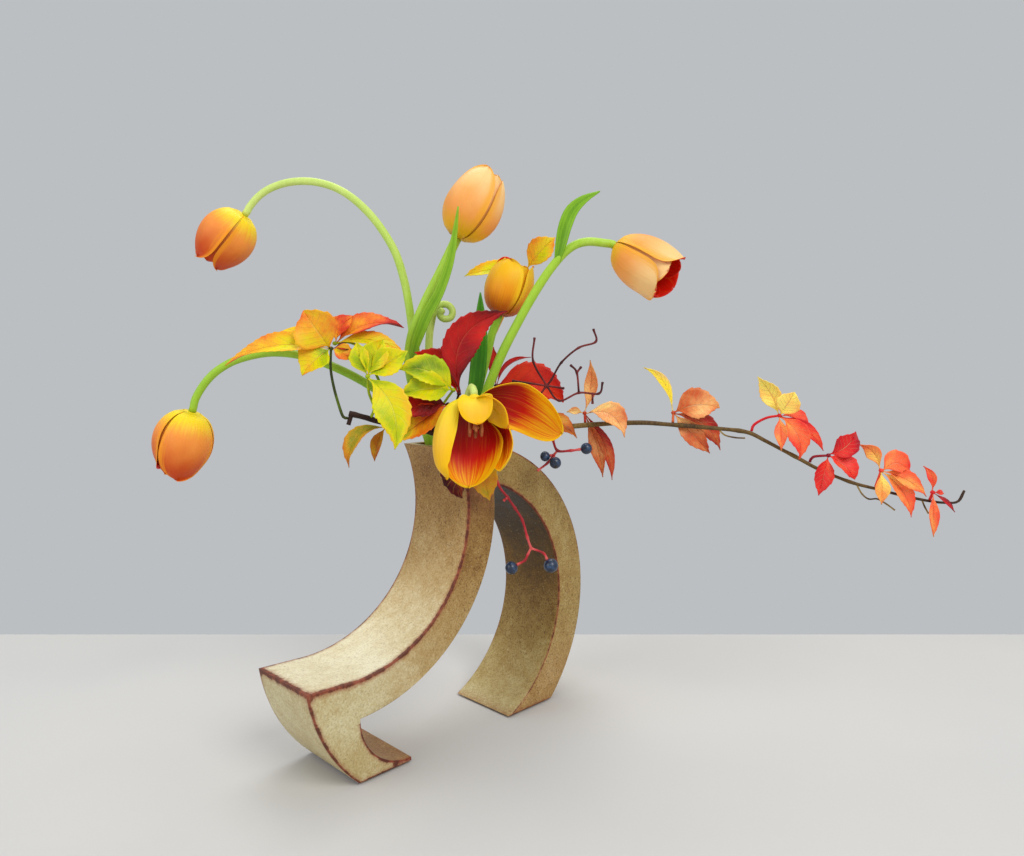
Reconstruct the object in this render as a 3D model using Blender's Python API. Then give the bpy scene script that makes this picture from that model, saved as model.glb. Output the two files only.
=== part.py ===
"""Ikebana arrangement: six tulips, autumn creeper and berries in a two-legged stoneware vase.

Design values are in millimetres and become metres where a mesh is made. The design frame has
its origin on the table under the middle of the vase, +X to the right, +Y away from the viewer
and +Z up. The vase is a thick slab cut to one profile and turned 45 degrees about +Z; places
in and on it are given as (along, deep, up) and turned into the design frame by in_vase().
At the end everything hangs on one empty, which moves the arrangement to the middle of its
own bounding box, with its lowest point at zero.
"""

import math

import bmesh
import bpy
from mathutils import Matrix, Vector
from mathutils.geometry import intersect_point_line

MM = 0.001
GAP = 0.3  # clearance between pieces that touch

FINISHES = {
    # name: (base colour, roughness)
    "stoneware": ((0.42, 0.31, 0.17), 0.62),
    "water": ((0.75, 0.82, 0.80), 0.05),
    "felt": ((0.07, 0.06, 0.05), 0.9),
    "tulip_stem": ((0.33, 0.52, 0.07), 0.45),
    "tulip_leaf": ((0.12, 0.32, 0.04), 0.45),
    "pale_shoot": ((0.62, 0.74, 0.24), 0.45),
    "petal": ((0.90, 0.34, 0.05), 0.5),
    "petal_deep": ((0.86, 0.20, 0.02), 0.5),
    "stamen": ((0.75, 0.34, 0.06), 0.6),
    "bark": ((0.13, 0.08, 0.04), 0.7),
    "vine": ((0.22, 0.15, 0.06), 0.65),
    "leaf_orange": ((0.80, 0.40, 0.03), 0.55),
    "leaf_yellow_green": ((0.66, 0.68, 0.02), 0.5),
    "leaf_olive": ((0.42, 0.24, 0.02), 0.55),
    "leaf_red": ((0.68, 0.06, 0.02), 0.5),
    "leaf_maroon": ((0.42, 0.03, 0.02), 0.5),
    "leaf_dry": ((0.55, 0.20, 0.07), 0.65),
    "leaf_scarlet": ((0.85, 0.10, 0.05), 0.5),
    "berry_stalk": ((0.35, 0.03, 0.03), 0.5),
    "bare_stalk": ((0.11, 0.03, 0.03), 0.6),
    "berry": ((0.02, 0.05, 0.11), 0.35),
}

# ---------------------------------------------------------------- the vase's profile

VASE_TURN = math.radians(45)
VASE_PLACE = (59.0, 10.2)  # where the profile's origin, the right foot's inner corner, stands
VASE_DEPTH = 69
WALL = 6
TOP = 236
WATER_LEVEL = 224
ARC_STEPS = 12

LEFT_CENTRE = (-155, 187)  # the left leg curves round this point
LEFT_INNER, LEFT_OUTER = 109.5, 139
RIGHT_CENTRE = (-45.6, 99)  # and the right leg round this one
RIGHT_INNER, RIGHT_OUTER = 109.3, 140.5
LIP = (-193.7, 79)  # the end of the left leg's hollow face
HEEL = (-152.4, 0)
TOE = (-105, 0)
TOE_HEIGHT = 2.8
NOTCH_TOP = (-150.6, 48.3)
NOTCH_BULGE = 13.5  # sagittas of the two short arcs at the left foot, inward and outward
END_BULGE = -7.5
MOUTH_RIGHT = -20  # the mouth's right edge, along the profile
CAVITY_FLOOR = 8  # of the right leg
CAVITY_END = math.radians(-92)  # of the left leg, as a turn about its centre
EDGE_ROUNDING = 1.2

PAD_RADIUS, PAD_HEIGHT = 5, 1.5
PAD_PLACES = {
    "foot_pad_left_front": (-142, 9),
    "foot_pad_left_back": (-142, 60),
    "foot_pad_right_front": (28, 9),
    "foot_pad_right_back": (28, 60),
}


def in_vase(along, deep, up):
    """A place measured along the vase's profile, into its depth and up, in the design frame."""
    turned = Matrix.Rotation(VASE_TURN, 3, "Z") @ Vector((along, deep, up))
    return turned + Vector((*VASE_PLACE, 0))


def arc(centre, radius, start, end, steps=ARC_STEPS):
    """Points on a circle in the profile's plane, from one angle to another."""
    turns = [start + (end - start) * i / steps for i in range(steps + 1)]
    return [(centre[0] + radius * math.cos(a), centre[1] + radius * math.sin(a)) for a in turns]


def bulged(start, end, bulge, steps=6):
    """The points between two ends of an arc whose middle stands off their chord by `bulge`."""
    half = (math.dist(start, end)) / 2
    radius = (half ** 2 + bulge ** 2) / (2 * abs(bulge))
    rise = Vector((start[1] - end[1], end[0] - start[0])).normalized() * math.copysign(1, bulge)
    centre = (Vector(start) + Vector(end)) / 2 - rise * (radius - abs(bulge))
    first, last = Vector(start) - centre, Vector(end) - centre
    sweep = -first.angle_signed(last)
    return [tuple(centre + Matrix.Rotation(sweep * i / steps, 2) @ first) for i in range(1, steps)]


def angle_at_height(centre, radius, height):
    return math.asin((height - centre[1]) / radius)


def crotch(left_radius, right_radius):
    """Where a circle of the left leg meets a circle of the right leg, under the top."""
    span = math.dist(LEFT_CENTRE, RIGHT_CENTRE)
    along = (left_radius ** 2 - right_radius ** 2 + span ** 2) / (2 * span)
    off = math.sqrt(left_radius ** 2 - along ** 2)
    toward = (Vector(RIGHT_CENTRE) - Vector(LEFT_CENTRE)) / span
    return Vector(LEFT_CENTRE) + toward * along + Vector((-toward.y, toward.x)) * off


def angle_to(centre, point):
    return math.atan2(point[1] - centre[1], point[0] - centre[0])


def vase_outline():
    """The profile of the slab, anticlockwise from the heel of the left foot."""
    fork = crotch(LEFT_OUTER, RIGHT_INNER)
    points = [HEEL, TOE, (TOE[0], TOE_HEIGHT)]
    points += bulged((TOE[0], TOE_HEIGHT), NOTCH_TOP, NOTCH_BULGE)
    points += arc(LEFT_CENTRE, LEFT_OUTER, angle_to(LEFT_CENTRE, NOTCH_TOP),
                  angle_to(LEFT_CENTRE, fork))
    points += arc(RIGHT_CENTRE, RIGHT_INNER, angle_to(RIGHT_CENTRE, fork),
                  angle_at_height(RIGHT_CENTRE, RIGHT_INNER, 0))[1:]
    points += arc(RIGHT_CENTRE, RIGHT_OUTER, angle_at_height(RIGHT_CENTRE, RIGHT_OUTER, 0),
                  angle_at_height(RIGHT_CENTRE, RIGHT_OUTER, TOP))
    points += arc(LEFT_CENTRE, LEFT_INNER, angle_at_height(LEFT_CENTRE, LEFT_INNER, TOP),
                  -math.pi / 2)
    points += [LIP]
    points += bulged(LIP, HEEL, END_BULGE)
    return points


def cavity_outline():
    """The profile of the hollow inside the walls, open at the mouth."""
    left_inner, left_outer = LEFT_INNER + WALL, LEFT_OUTER - WALL
    right_inner, right_outer = RIGHT_INNER + WALL, RIGHT_OUTER - WALL
    above = TOP + WALL
    fork = crotch(left_outer, right_inner)
    shoulder = RIGHT_CENTRE[1] + math.sqrt(right_outer ** 2 - (MOUTH_RIGHT - RIGHT_CENTRE[0]) ** 2)
    points = arc(LEFT_CENTRE, left_outer, CAVITY_END, angle_to(LEFT_CENTRE, fork))
    points += arc(RIGHT_CENTRE, right_inner, angle_to(RIGHT_CENTRE, fork),
                  angle_at_height(RIGHT_CENTRE, right_inner, CAVITY_FLOOR))[1:]
    points += arc(RIGHT_CENTRE, right_outer,
                  angle_at_height(RIGHT_CENTRE, right_outer, CAVITY_FLOOR),
                  angle_at_height(RIGHT_CENTRE, right_outer, shoulder))
    points += [(MOUTH_RIGHT, above)]
    points += arc(LEFT_CENTRE, left_inner, angle_at_height(LEFT_CENTRE, left_inner, above),
                  CAVITY_END)
    return points


def drawn_in(outline, gap):
    """An anticlockwise outline with every edge moved inward by a gap."""
    moved = []
    for before, corner, after in zip(outline[-1:] + outline[:-1], outline,
                                     outline[1:] + outline[:1]):
        first = (Vector(corner) - Vector(before)).normalized()
        second = (Vector(after) - Vector(corner)).normalized()
        inward = Vector((-first.y - second.y, first.x + second.x))
        moved.append(tuple(Vector(corner) + inward * gap / (1 + first.dot(second))))
    return moved


def below(outline, height):
    """The part of an outline under a level."""
    kept = []
    for start, end in zip(outline, outline[1:] + outline[:1]):
        if start[1] <= height:
            kept.append(start)
        if (start[1] <= height) != (end[1] <= height):
            share = (height - start[1]) / (end[1] - start[1])
            kept.append((start[0] + (end[0] - start[0]) * share, height))
    return kept


# ---------------------------------------------------------------- tulips

# Each stem runs from its cut end in the water to the bloom; each bloom stands on its stem's
# end at `base` and points along `axis`.
TULIPS = {
    "far_left": {
        "foot": [(-31, 38, 198), (-38, 35, 216), (-44, 33, 237)],
        "stem": [(-14, -3, 256), (-36, -9, 274), (-53, -17, 287), (-70, -22, 297),
                 (-88, -25, 305), (-104, -27, 310), (-120, -28, 312), (-134, -29, 311),
                 (-150, -30, 307), (-161, -30, 302), (-171, -30, 295), (-179, -30, 286),
                 (-185, -30, 276)],
        "radii": (3.6, 3.0),
        "base": (-188, -30, 266), "axis": (-17, 0, -51),
        "length": 53, "width": 45, "turn": -34, "closing": 0.9,
    },
    "upper_left": {
        "foot": [(-31, 56, 198), (-30, 57, 216), (-29, 57, 237)],
        "stem": [(-9, 28, 265), (-16, 25, 295), (-21, 22, 325), (-24, 20, 350), (-28, 20, 372),
                 (-34, 20, 392), (-43, 20, 409), (-55, 20, 425), (-70, 20, 439),
                 (-86, 20, 448), (-103, 20, 452), (-121, 20, 451.5), (-136, 20, 447),
                 (-147, 20, 440), (-155, 20, 431)],
        "radii": (3.8, 2.9),
        "base": (-159, 20, 425), "axis": (-30, 0, -36),
        "length": 50, "width": 45, "turn": 40, "closing": 0.9,
    },
    "top": {
        "foot": [(-31, 47, 197), (-38, 49, 216), (-43, 51, 237)],
        "stem": [(-15, 11, 262), (-20, 6, 285), (-22.5, 2, 306), (-19, -2, 326),
                 (-13, -4, 341), (-6, -5, 356), (3, -5, 373), (11, -5, 389)],
        "radii": (4.3, 4.0),
        "base": (18, -5, 403), "axis": (28, 0, 50),
        "length": 59, "width": 46, "turn": 155, "closing": 0.92,
    },
    "center": {
        "foot": [(-31, 29, 198), (-28, 27, 216), (-26, 25, 237)],
        "stem": [(29, 9, 262), (36, 9.5, 290), (41, 10, 310), (45, 10, 327)],
        "radii": (3.7, 3.4),
        "base": (51, 10, 343), "axis": (17, 0, 47),
        "length": 47, "width": 39, "turn": 35, "closing": 0.84,
    },
    "right": {
        "foot": [(-31, 20, 198), (-30, 17, 216), (-29, 14, 237)],
        "stem": [(34, -7, 258), (41, -13, 280), (48, -17, 298), (56, -19, 316),
                 (66, -20, 335), (76, -20, 353), (86, -20, 369), (94, -20, 380),
                 (103, -20, 390), (112, -20, 396), (122, -20, 398), (132, -20, 397)],
        "radii": (4.1, 3.2),
        "base": (143, -20, 394), "axis": (43, -21, -30),
        "length": 52, "width": 43, "turn": 100, "closing": 0.7,
    },
    "front": {
        "foot": [(-31, 11.2, 197), (-37, 11.1, 216), (-40, 11.5, 238)],
        "stem": [(24, -20, 258), (27, -30, 277), (30.5, -38.5, 285.5)],
        "radii": (3.7, 2.8),
        "base": (33, -47, 279), "axis": (1, -9, -15),
    },
}
STEM_POINT_SPACING = 16
SHOOT_POINT_SPACING = 8
STRAIGHT_NECK = 4  # the last stretch of a stem, in line with its bloom

CLOSED_PETAL_ROWS = (0, 0.15, 0.5, 0.84, 0.98)
OUTER_PETAL = (1, 1, math.radians(56))  # radius, length, half the angle that a petal wraps
INNER_PETAL = (0.88, 0.96, math.radians(50))
PETAL_LENGTHS = (1, 0.95, 0.98)  # the three petals of a ring differ a little
PETAL_THICKNESS = 1.0
CORE_ROWS = ((0, 0.93), (0.07, 0.85))

# The open bloom's petals: points along the middle, the direction across, the greatest half
# width and how far the two edges curl, in radians.
OPEN_PETALS = {
    "back": ([(33.2, -46.2, 274.5), (30, -41, 262), (29, -39, 246), (28.5, -43, 229),
              (28.5, -53, 210.5)],
             (1, 0, 0), 31, -1.0),
    "left": ([(30.2, -48.9, 276.5), (24, -50, 278), (15, -53, 274), (8.5, -57, 265),
              (4.5, -60, 253), (3.5, -62, 240), (6, -63, 227), (13, -64, 218.5)],
             (0.45, -0.9, 0), 18, 1.3),
    "right_inner": ([(35.7, -48.2, 276), (46, -47, 272), (54, -45, 260), (57.5, -47, 246),
                     (57, -52, 234), (53, -58, 224)],
                    (0.6, -0.8, 0), 17, -0.9),
    "right": ([(36.2, -49, 276.7), (50, -46, 277.5), (68, -43, 272.5), (86, -46, 262),
               (99, -52, 251)],
              (0.2, -0.35, 0.9), 21, -0.6),
    "front": ([(33.2, -51.2, 277.4), (34, -58, 277), (35.5, -66, 270), (36.5, -70, 260)],
              (1, 0, 0.1), 15, -0.9),
    "front_right": ([(35.2, -50.7, 277), (44, -56, 276), (53, -61, 269), (58.5, -65, 257)],
                    (0.5, -0.8, 0.3), 14, -0.8),
}
OPEN_PETAL_ROW_SPACING = 11
RECEPTACLE = ((0, 3.6), (1.5, 5.2), (4.5, 5.8), (7, 4.4))  # (along the axis, radius)
STAMEN_DISC = ((7.3, 3.2), (9.3, 2.4))
STAMEN_COUNT = 6
STAMEN_LENGTH = 24
PISTIL_LENGTH = 19

# A tulip leaf: points along its middle, the direction across, half widths and the curl.
TULIP_LEAVES = {
    "center": ([(20.1, -4.6, 227), (21.6, -2.8, 240), (25.2, -0.8, 258), (31, -1, 280),
                (34, -1, 300), (36, -2, 325), (36.3, -4, 345), (36.3, -6, 360)],
               (1, 0, 0), (2.0, 2.4, 4.2, 6.2, 6.8, 6.2, 4.2, 0.6), 0.5),
    "top": ([(-20, 1, 302), (-16, -6, 318), (-6, -13, 341), (5, -19, 360), (13.5, -25, 382),
             (18, -31, 403), (21, -36, 422)],
            (0.9, 0, -0.42), (2.6, 4.2, 4.6, 4.2, 3.6, 2.4, 0.6), 0.5),
    "right": ([(97, -21, 383), (100, -24, 397), (103, -26, 410), (108, -26, 421),
               (117, -26, 429), (129, -26, 435)],
              (0.75, -0.1, -0.65), (2.6, 4.6, 5.6, 5.4, 3.6, 0.6), 0.6),
}

SHOOT = {
    "foot": [(-22, 43, 218), (-27, 44, 227), (-33, 45, 238)],
    "stem": [(0, 18, 260), (-4.5, 16, 282), (-7, 13.5, 303), (-7, 12, 320), (-5.5, 12, 334),
             (-3, 12, 344.5), (1.5, 11.5, 350.5), (8, 11, 351.5), (12.6, 10, 347), (11.6, 8.6, 341),
             (6, 6.8, 339.5), (2.6, 5.2, 343), (5, 4, 346.5)],
    "radii": (3.8, 2.8),
}

# ---------------------------------------------------------------- creeper

VINE = {
    "foot": [(-19, 37, 217), (-23, 36, 227), (-25, 35, 238)],
    "stem": [(31, 21, 245.5), (48, 18, 249), (75, 13, 250.5), (106, 8, 251), (134, 4, 253.5),
             (166, 0, 255), (194, -4, 253.5), (228, -9, 251), (250, -13, 248.5),
             (264, -15, 242), (278, -17, 234.5), (292, -20, 227), (307, -22, 219),
             (331, -26, 209.5), (349, -29, 205), (365, -32, 201), (388, -36, 196.5),
             (402, -37.5, 195.5), (409, -38, 197), (413, -38, 205)],
    "radii": (2.5, 0.9),
}
TENDRILS = [
    [(228, -9, 251), (233, -11, 246), (241, -12, 244), (249, -12, 243.5)],
    [(334, -26.5, 208.5), (338, -28, 201), (343, -29, 197), (350, -29, 197), (357, -30, 193),
     (363, -31, 188.5)],
    [(382, -35, 197.5), (384, -36, 192), (387, -36, 187)],
]
TENDRIL_RADIUS = 0.7

TWIG = {
    "foot": [(-40, 23, 214), (-43.5, 22.5, 227), (-45, 22, 239.5)],
    "stem": [(2, -14, 247), (-14, -25, 252.5), (-38, -33, 258), (-52, -36, 262),
             (-64, -38, 265.5)],
    "radii": (2.3, 2.1),
}
TWIG_STUB = [(-62, -37.6, 265), (-64.5, -38.5, 256.5)]
TWIG_STUB_RADIUS = 1.8

# Rows of a leaflet: share of the length, share of the half width.
BROAD_ROWS = ((0, 0.06), (0.10, 0.16), (0.30, 0.88), (0.52, 1.0), (0.76, 0.62), (1, 0.05))
NARROW_ROWS = ((0, 0.06), (0.14, 0.2), (0.5, 1), (1, 0.05))
NARROW_WIDTH = 13.5  # the greatest width of a narrow leaflet
LEAFLET_THICKNESS = 0.8
LEAFLET_CURL = 0.55
JOINT_RADIUS = 2.2
ROOT_DEPTH = 0.7  # how far from the joint's middle the leaflets start, in joint radii
PETIOLE_RADIUS = 1.1

# Each leaf: finish, the point where its leaflets meet, what carries it, the middle of its
# petiole, and its leaflets as (tip, width, direction that the face looks, arch, sway): how far
# the middle stands off the straight line to the tip, towards the face and towards its right.
# The two leaves without a carrier rise inside the mouth, against its walls.
FRONT = (0, -1, 0.25)
LEAVES = {
    "leaf_far_left": (
        "leaf_orange", (-75, -46, 315), "stub",
        [(-68, -40.5, 263), (-71.5, -41.5, 274), (-74.5, -42.5, 287), (-76, -44, 300)],
        [((-93, -53, 343), 34, (-0.2, -0.9, 0.3), 5, 0),
         ((-122, -42, 324), 13, (0, -0.5, 0.9), 6, 3),
         ((-153, -52, 302), 20, (0.2, -0.7, 0.7), 12, 0),
         ((-94, -58, 295), 27, (-0.3, -0.9, 0.3), 3, 0),
         ((-60, -44, 306), 15, (0, -0.75, 0.65), 2, 0),
         ((-60, -41, 314), 8, (0, -0.7, 0.7), 2, 0)]),
    "leaf_left_red": (
        "leaf_red", (-74, -37, 319), "twig",
        [(-36, -29, 272), (-42, -33, 292), (-52, -36, 312), (-62, -36, 319.5)],
        [((-23, -24, 331), 21, (0.1, -0.6, 0.8), 9, -2),
         ((-20, -35, 310), 14, (0, -0.8, 0.6), 8, -3),
         ((-60, -30, 340), 16, (-0.2, -0.8, 0.3), 3, -2)]),
    "leaf_yellow_green": (
        "leaf_yellow_green", (-47, -50, 294), "twig",
        [(-44, -41, 270), (-47, -46, 282)],
        [((-55, -48, 320), 16, (-0.3, -0.9, 0.2), 2, 0),
         ((-36, -45, 322), 22, FRONT, 2, 0),
         ((-17, -47, 313), 22, (0.2, -0.9, 0.4), 2, 0),
         ((-26, -59, 240), 27, (0.1, -0.95, 0.2), 6, -9)]),
    "leaf_hooked": (
        "leaf_olive", (-35, -42, 256), "twig",
        [],
        [((-62, -50, 225), 16, (-0.2, -0.7, 0.6), 10, 5),
         ((-44, -42, 229), 12, (-0.5, -0.8, 0.2), 3, 0)]),
    "leaf_center_green": (
        "leaf_yellow_green", (16, -31, 283), "twig",
        [(3, -25, 264), (10, -29, 275)],
        [((-25, -40, 299), 26, (0, -0.85, 0.5), 5, 5),
         ((-24, -44, 280), 25, (0, -0.85, 0.5), 5, 0)]),
    "leaf_center_red": (
        "leaf_maroon", (20, -25.5, 280), "twig",
        [(12, -15, 258), (17, -22, 271)],
        [((58, -25, 344), 27, (0.15, -0.95, 0.1), 3, -19),
         ((-16, -13, 312), 24, (0, -0.95, 0.3), 2, 5),
         ((10, -8, 328), 13, (-0.1, -0.95, 0.1), 1, 0)]),
    "leaf_maroon_low": (
        "leaf_maroon", (12, -33, 272), "twig",
        [(6, -25, 258), (10.5, -30.5, 267)],
        [((-25, -44, 261), 27, (0.1, -0.85, 0.5), 3, 4),
         ((-27, -42, 244), 24, (0.1, -0.85, 0.5), 3, 0)]),
    "leaf_under_tulip": (
        "leaf_olive", (30, -33, 238), None,
        [(21.6, -16.7, 229), (21.6, -16.7, 239.5), (26, -28, 242)],
        [((23, -36, 199), 26, (-0.3, -0.95, 0.1), 4, 6),
         ((44, -30, 196), 22, (0.3, -0.95, 0.1), 4, 0)]),
    "leaf_behind_red": (
        "leaf_maroon", (48, 27, 284), "vine",
        [(46, 24, 262), (47, 26, 274)],
        [((105, 25, 270), 34, (0, -0.9, 0.35), 4, -9),
         ((78, 34, 308), 8, (-0.2, -0.5, 0.8), 4, -7),
         ((46, 27, 317), 11, FRONT, 1, 0)]),
    "leaf_behind_brown": (
        "leaf_olive", (84, 0, 260), "vine",
        [],
        [((114, -8, 243), 17, (0, -0.6, 0.8), 5, 0)]),
    "leaf_top_orange": (
        "leaf_orange", (74, 37, 383), None,
        [(8.5, 30.4, 228), (8.5, 30.4, 239), (14, 34, 262), (30, 38, 290), (48, 38, 330)],
        [((21, 40, 377), 18, (0, -0.8, 0.6), 4, 0),
         ((98, 36, 409), 22, (0, -0.9, 0.4), 4, 0)]),
    "leaf_dry": (
        "leaf_dry", (122, 11, 262), "vine",
        [],
        [((126, 9, 306), 12, FRONT, -4, 3),
         ((107, 10, 263), 7, (-0.2, -0.9, 0.4), 1, 1),
         ((152, -12, 244), 21, (0.1, -0.75, 0.6), 7, -7),
         ((138, 14, 208), 13, (-0.3, -0.9, 0), 2, -3),
         ((146, 17, 205), 13, (0.5, -0.85, 0), 3, -4)]),
    "leaf_terracotta": (
        "leaf_dry", (194, 2.4, 263), "vine",
        [],
        [((168, -4, 300), 9, (0.2, -0.9, 0.2), -3, 9),
         ((231, 0, 267), 27, (0, -0.9, 0.4), 4, -3),
         ((224, 0, 230), 16, (-0.3, -0.9, 0.2), 3, 0),
         ((233, 2, 232), 18, (0.3, -0.9, 0.3), 3, -7)]),
    "leaf_coral": (
        "leaf_scarlet", (275, -16, 262), "vine",
        [(256, -13, 254.5), (265, -14.5, 260)],
        [((258, -12, 293), 16, (-0.3, -0.9, -0.2), -3, 2),
         ((285, -20, 281), 19, FRONT, 2, 0),
         ((298, -17, 248), 15, (0.2, -0.6, 0.8), 3, -6),
         ((274, -26, 235), 11, (-0.2, -0.95, 0.1), 3, 0),
         ((288, -26, 228), 18, (0.2, -0.95, 0.1), 4, -5),
         ((310, -18, 234), 13, (0, -0.8, 0.6), 4, -2)]),
    "leaf_scarlet": (
        "leaf_scarlet", (312, -24, 231), "vine",
        [(301, -21.5, 229.5)],
        [((332, -26, 250), 18, (-0.3, -0.9, 0.3), 2, 4),
         ((330, -32, 213), 21, (0.3, -0.8, 0.4), 3, 0),
         ((303, -30, 200), 15, (-0.3, -0.9, 0), 2, 0)]),
    "leaf_star": (
        "leaf_scarlet", (351, -31, 220), "vine",
        [],
        [((335, -26, 240), 12, (-0.4, -0.9, 0), -3, 4),
         ((372, -33, 220), 21, (0.1, -0.85, 0.4), 2, -5),
         ((385, -35, 200), 14, (0.2, -0.8, 0.6), 4, -1),
         ((373, -37, 184), 14, (0.2, -0.95, 0.1), 3, -4),
         ((350, -36, 194), 12, (-0.2, -0.95, 0), 2, 0)]),
    "leaf_tip_red": (
        "leaf_scarlet", (388, -39, 204), "vine",
        [],
        [((382, -35, 224), 7, (-0.3, -0.9, 0), 1, 3),
         ((396, -40, 203), 5, (0, -0.8, 0.6), 1, 0),
         ((404, -42, 189), 5, (0.3, -0.8, 0.4), 2, 0),
         ((388, -43, 170), 10, (0.1, -0.95, 0), 2, 1)]),
}

# ---------------------------------------------------------------- berries

# Stalks: finish, radius and runs; the first run of each starts at the vine.
STALKS = {
    "berry_stalk_front": ("berry_stalk", 1.1, [
        [(46, 9, 246), (46, -2, 243), (46, -11, 238), (47, -16, 228), (50, -17, 208),
         (58, -16, 196), (64, -15, 187), (70, -15, 177), (74, -15, 163), (77, -15, 154)],
        [(58, -16, 196), (55, -17, 193.5)],
        [(77, -15, 154), (74.5, -15, 149), (72, -15, 144), (66, -15, 140.5)],
        [(77, -15, 154), (87, -15, 150), (90, -15, 145)],
    ]),
    "berry_stalk_right": ("berry_stalk", 1.1, [
        [(92, 5, 245), (95, 2, 241), (99, 0, 232), (110, 0, 232), (117.5, 0, 233)],
        [(99, 0, 232), (96, 2, 228), (91, 5, 221), (83, 4, 215)],
        [(96, 2, 228), (93, 0.9, 227.7)],
        [(96, 2, 228), (96.4, -0.6, 225.8)],
    ]),
    "bare_panicle": ("bare_stalk", 1.0, [
        [(76, 11, 264), (90, 6, 285)],
        [(90, 6, 285), (79, 6, 305), (80, 6, 324)],
        [(90, 6, 285), (94, 5, 290), (102, 4, 304), (116, 4, 316), (130, 4, 321), (128, 4, 331)],
        [(62, 7, 289), (90, 6, 285), (104, 2, 283)],
        [(90, 6, 285), (100, 0, 273), (116, -2, 279.5), (132, -4, 279), (135, -4, 288)],
        [(116, -2, 279.5), (114, -4, 296), (109, -4, 302)],
        [(114, -4, 296), (117.5, -4, 300.5)],
        [(127, -3.5, 279.3), (127, -4, 271)],
    ]),
}
# Each berry hangs on the end of one run of a stalk: stalk, run, radius.
BERRIES = {
    "berry_front_left": ("berry_stalk_front", 2, 5.3),
    "berry_front_right": ("berry_stalk_front", 3, 6.0),
    "berry_right_end": ("berry_stalk_right", 0, 4.9),
    "berry_right_upper": ("berry_stalk_right", 2, 4.2),
    "berry_right_lower": ("berry_stalk_right", 3, 4.9),
}


# ---------------------------------------------------------------- making things


def material(name):
    found = bpy.data.materials.get(name)
    if found:
        return found
    colour, roughness = FINISHES[name]
    new = bpy.data.materials.new(name)
    new.use_nodes = True
    shader = new.node_tree.nodes["Principled BSDF"]
    shader.inputs["Base Color"].default_value = (*colour, 1)
    shader.inputs["Roughness"].default_value = roughness
    shader.inputs["Metallic"].default_value = 0
    return new


def add_object(name, mesh):
    new = bpy.data.objects.new(name, mesh)
    bpy.context.scene.collection.objects.link(new)
    return new


def from_bmesh(shape, name="piece"):
    """An object from a bmesh whose points are in millimetres."""
    bmesh.ops.scale(shape, vec=(MM, MM, MM), verts=shape.verts)
    bmesh.ops.recalc_face_normals(shape, faces=shape.faces)
    mesh = bpy.data.meshes.new(name)
    shape.to_mesh(mesh)
    shape.free()
    return add_object(name, mesh)


def applied(piece):
    """The object's mesh with its modifiers applied, or a curve's tube as a mesh."""
    bpy.context.view_layer.update()
    evaluated = piece.evaluated_get(bpy.context.evaluated_depsgraph_get())
    return bpy.data.meshes.new_from_object(evaluated)


def drop_scraps(mesh):
    """Keep the largest body, without sealed hollows and loose bits that a union left."""
    shape = bmesh.new()
    shape.from_mesh(mesh)
    bmesh.ops.remove_doubles(shape, verts=shape.verts, dist=1e-6)
    waiting = set(shape.verts)
    bodies = []
    while waiting:
        body = {waiting.pop()}
        edge_of_search = list(body)
        while edge_of_search:
            vertex = edge_of_search.pop()
            for edge in vertex.link_edges:
                other = edge.other_vert(vertex)
                if other not in body:
                    body.add(other)
                    edge_of_search.append(other)
        waiting -= body
        bodies.append(body)
    largest = max(bodies, key=len)
    scraps = [vertex for body in bodies if body is not largest for vertex in body]
    bmesh.ops.delete(shape, geom=scraps, context="VERTS")
    shape.to_mesh(mesh)
    shape.free()


def is_closed(mesh):
    shape = bmesh.new()
    shape.from_mesh(mesh)
    closed = all(edge.is_manifold for edge in shape.edges)
    shape.free()
    return closed


def combine(operation, body, others):
    """Join the other closed pieces to a body, or cut them out of it, and remove them."""
    helpers = bpy.data.collections.new("helpers")
    bpy.context.scene.collection.children.link(helpers)
    for piece in others:
        bpy.context.scene.collection.objects.unlink(piece)
        helpers.objects.link(piece)
    boolean = body.modifiers.new(operation.lower(), "BOOLEAN")
    boolean.operation = operation
    boolean.operand_type = "COLLECTION"
    boolean.collection = helpers
    for solver in ("EXACT", "MANIFOLD"):
        boolean.solver = solver
        mesh = applied(body)
        drop_scraps(mesh)
        if is_closed(mesh):
            break
    for piece in [body, *others]:
        bpy.data.objects.remove(piece)
    bpy.data.collections.remove(helpers)
    return add_object("piece", mesh)


def node(name, finish, pieces, smooth=True):
    """Fuse the pieces into one body and make it the node `name`."""
    body = pieces[0] if len(pieces) == 1 else combine("UNION", pieces[0], pieces[1:])
    body.name = name
    body.data.name = name
    body.data.materials.clear()
    body.data.materials.append(material(finish))
    if smooth:
        body.data.shade_smooth()
        body.data.set_sharp_from_angle(angle=math.radians(40))
    return body


def smooth_path(points, spacing):
    """Points on a smooth curve through the given ones, about `spacing` apart."""
    places = [Vector(p) for p in points]
    ends = [2 * places[0] - places[1], *places, 2 * places[-1] - places[-2]]
    path = [places[0]]
    for before, start, end, after in zip(ends, ends[1:], ends[2:], ends[3:]):
        steps = max(1, round((end - start).length / spacing))
        for i in range(1, steps + 1):
            t = i / steps
            path.append(0.5 * (2 * start + (end - before) * t
                               + (2 * before - 5 * start + 4 * end - after) * t ** 2
                               + (3 * start - before - 3 * end + after) * t ** 3))
    return path


def tapered(radii, count):
    first, last = radii
    return [first + (last - first) * i / (count - 1) for i in range(count)]


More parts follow.
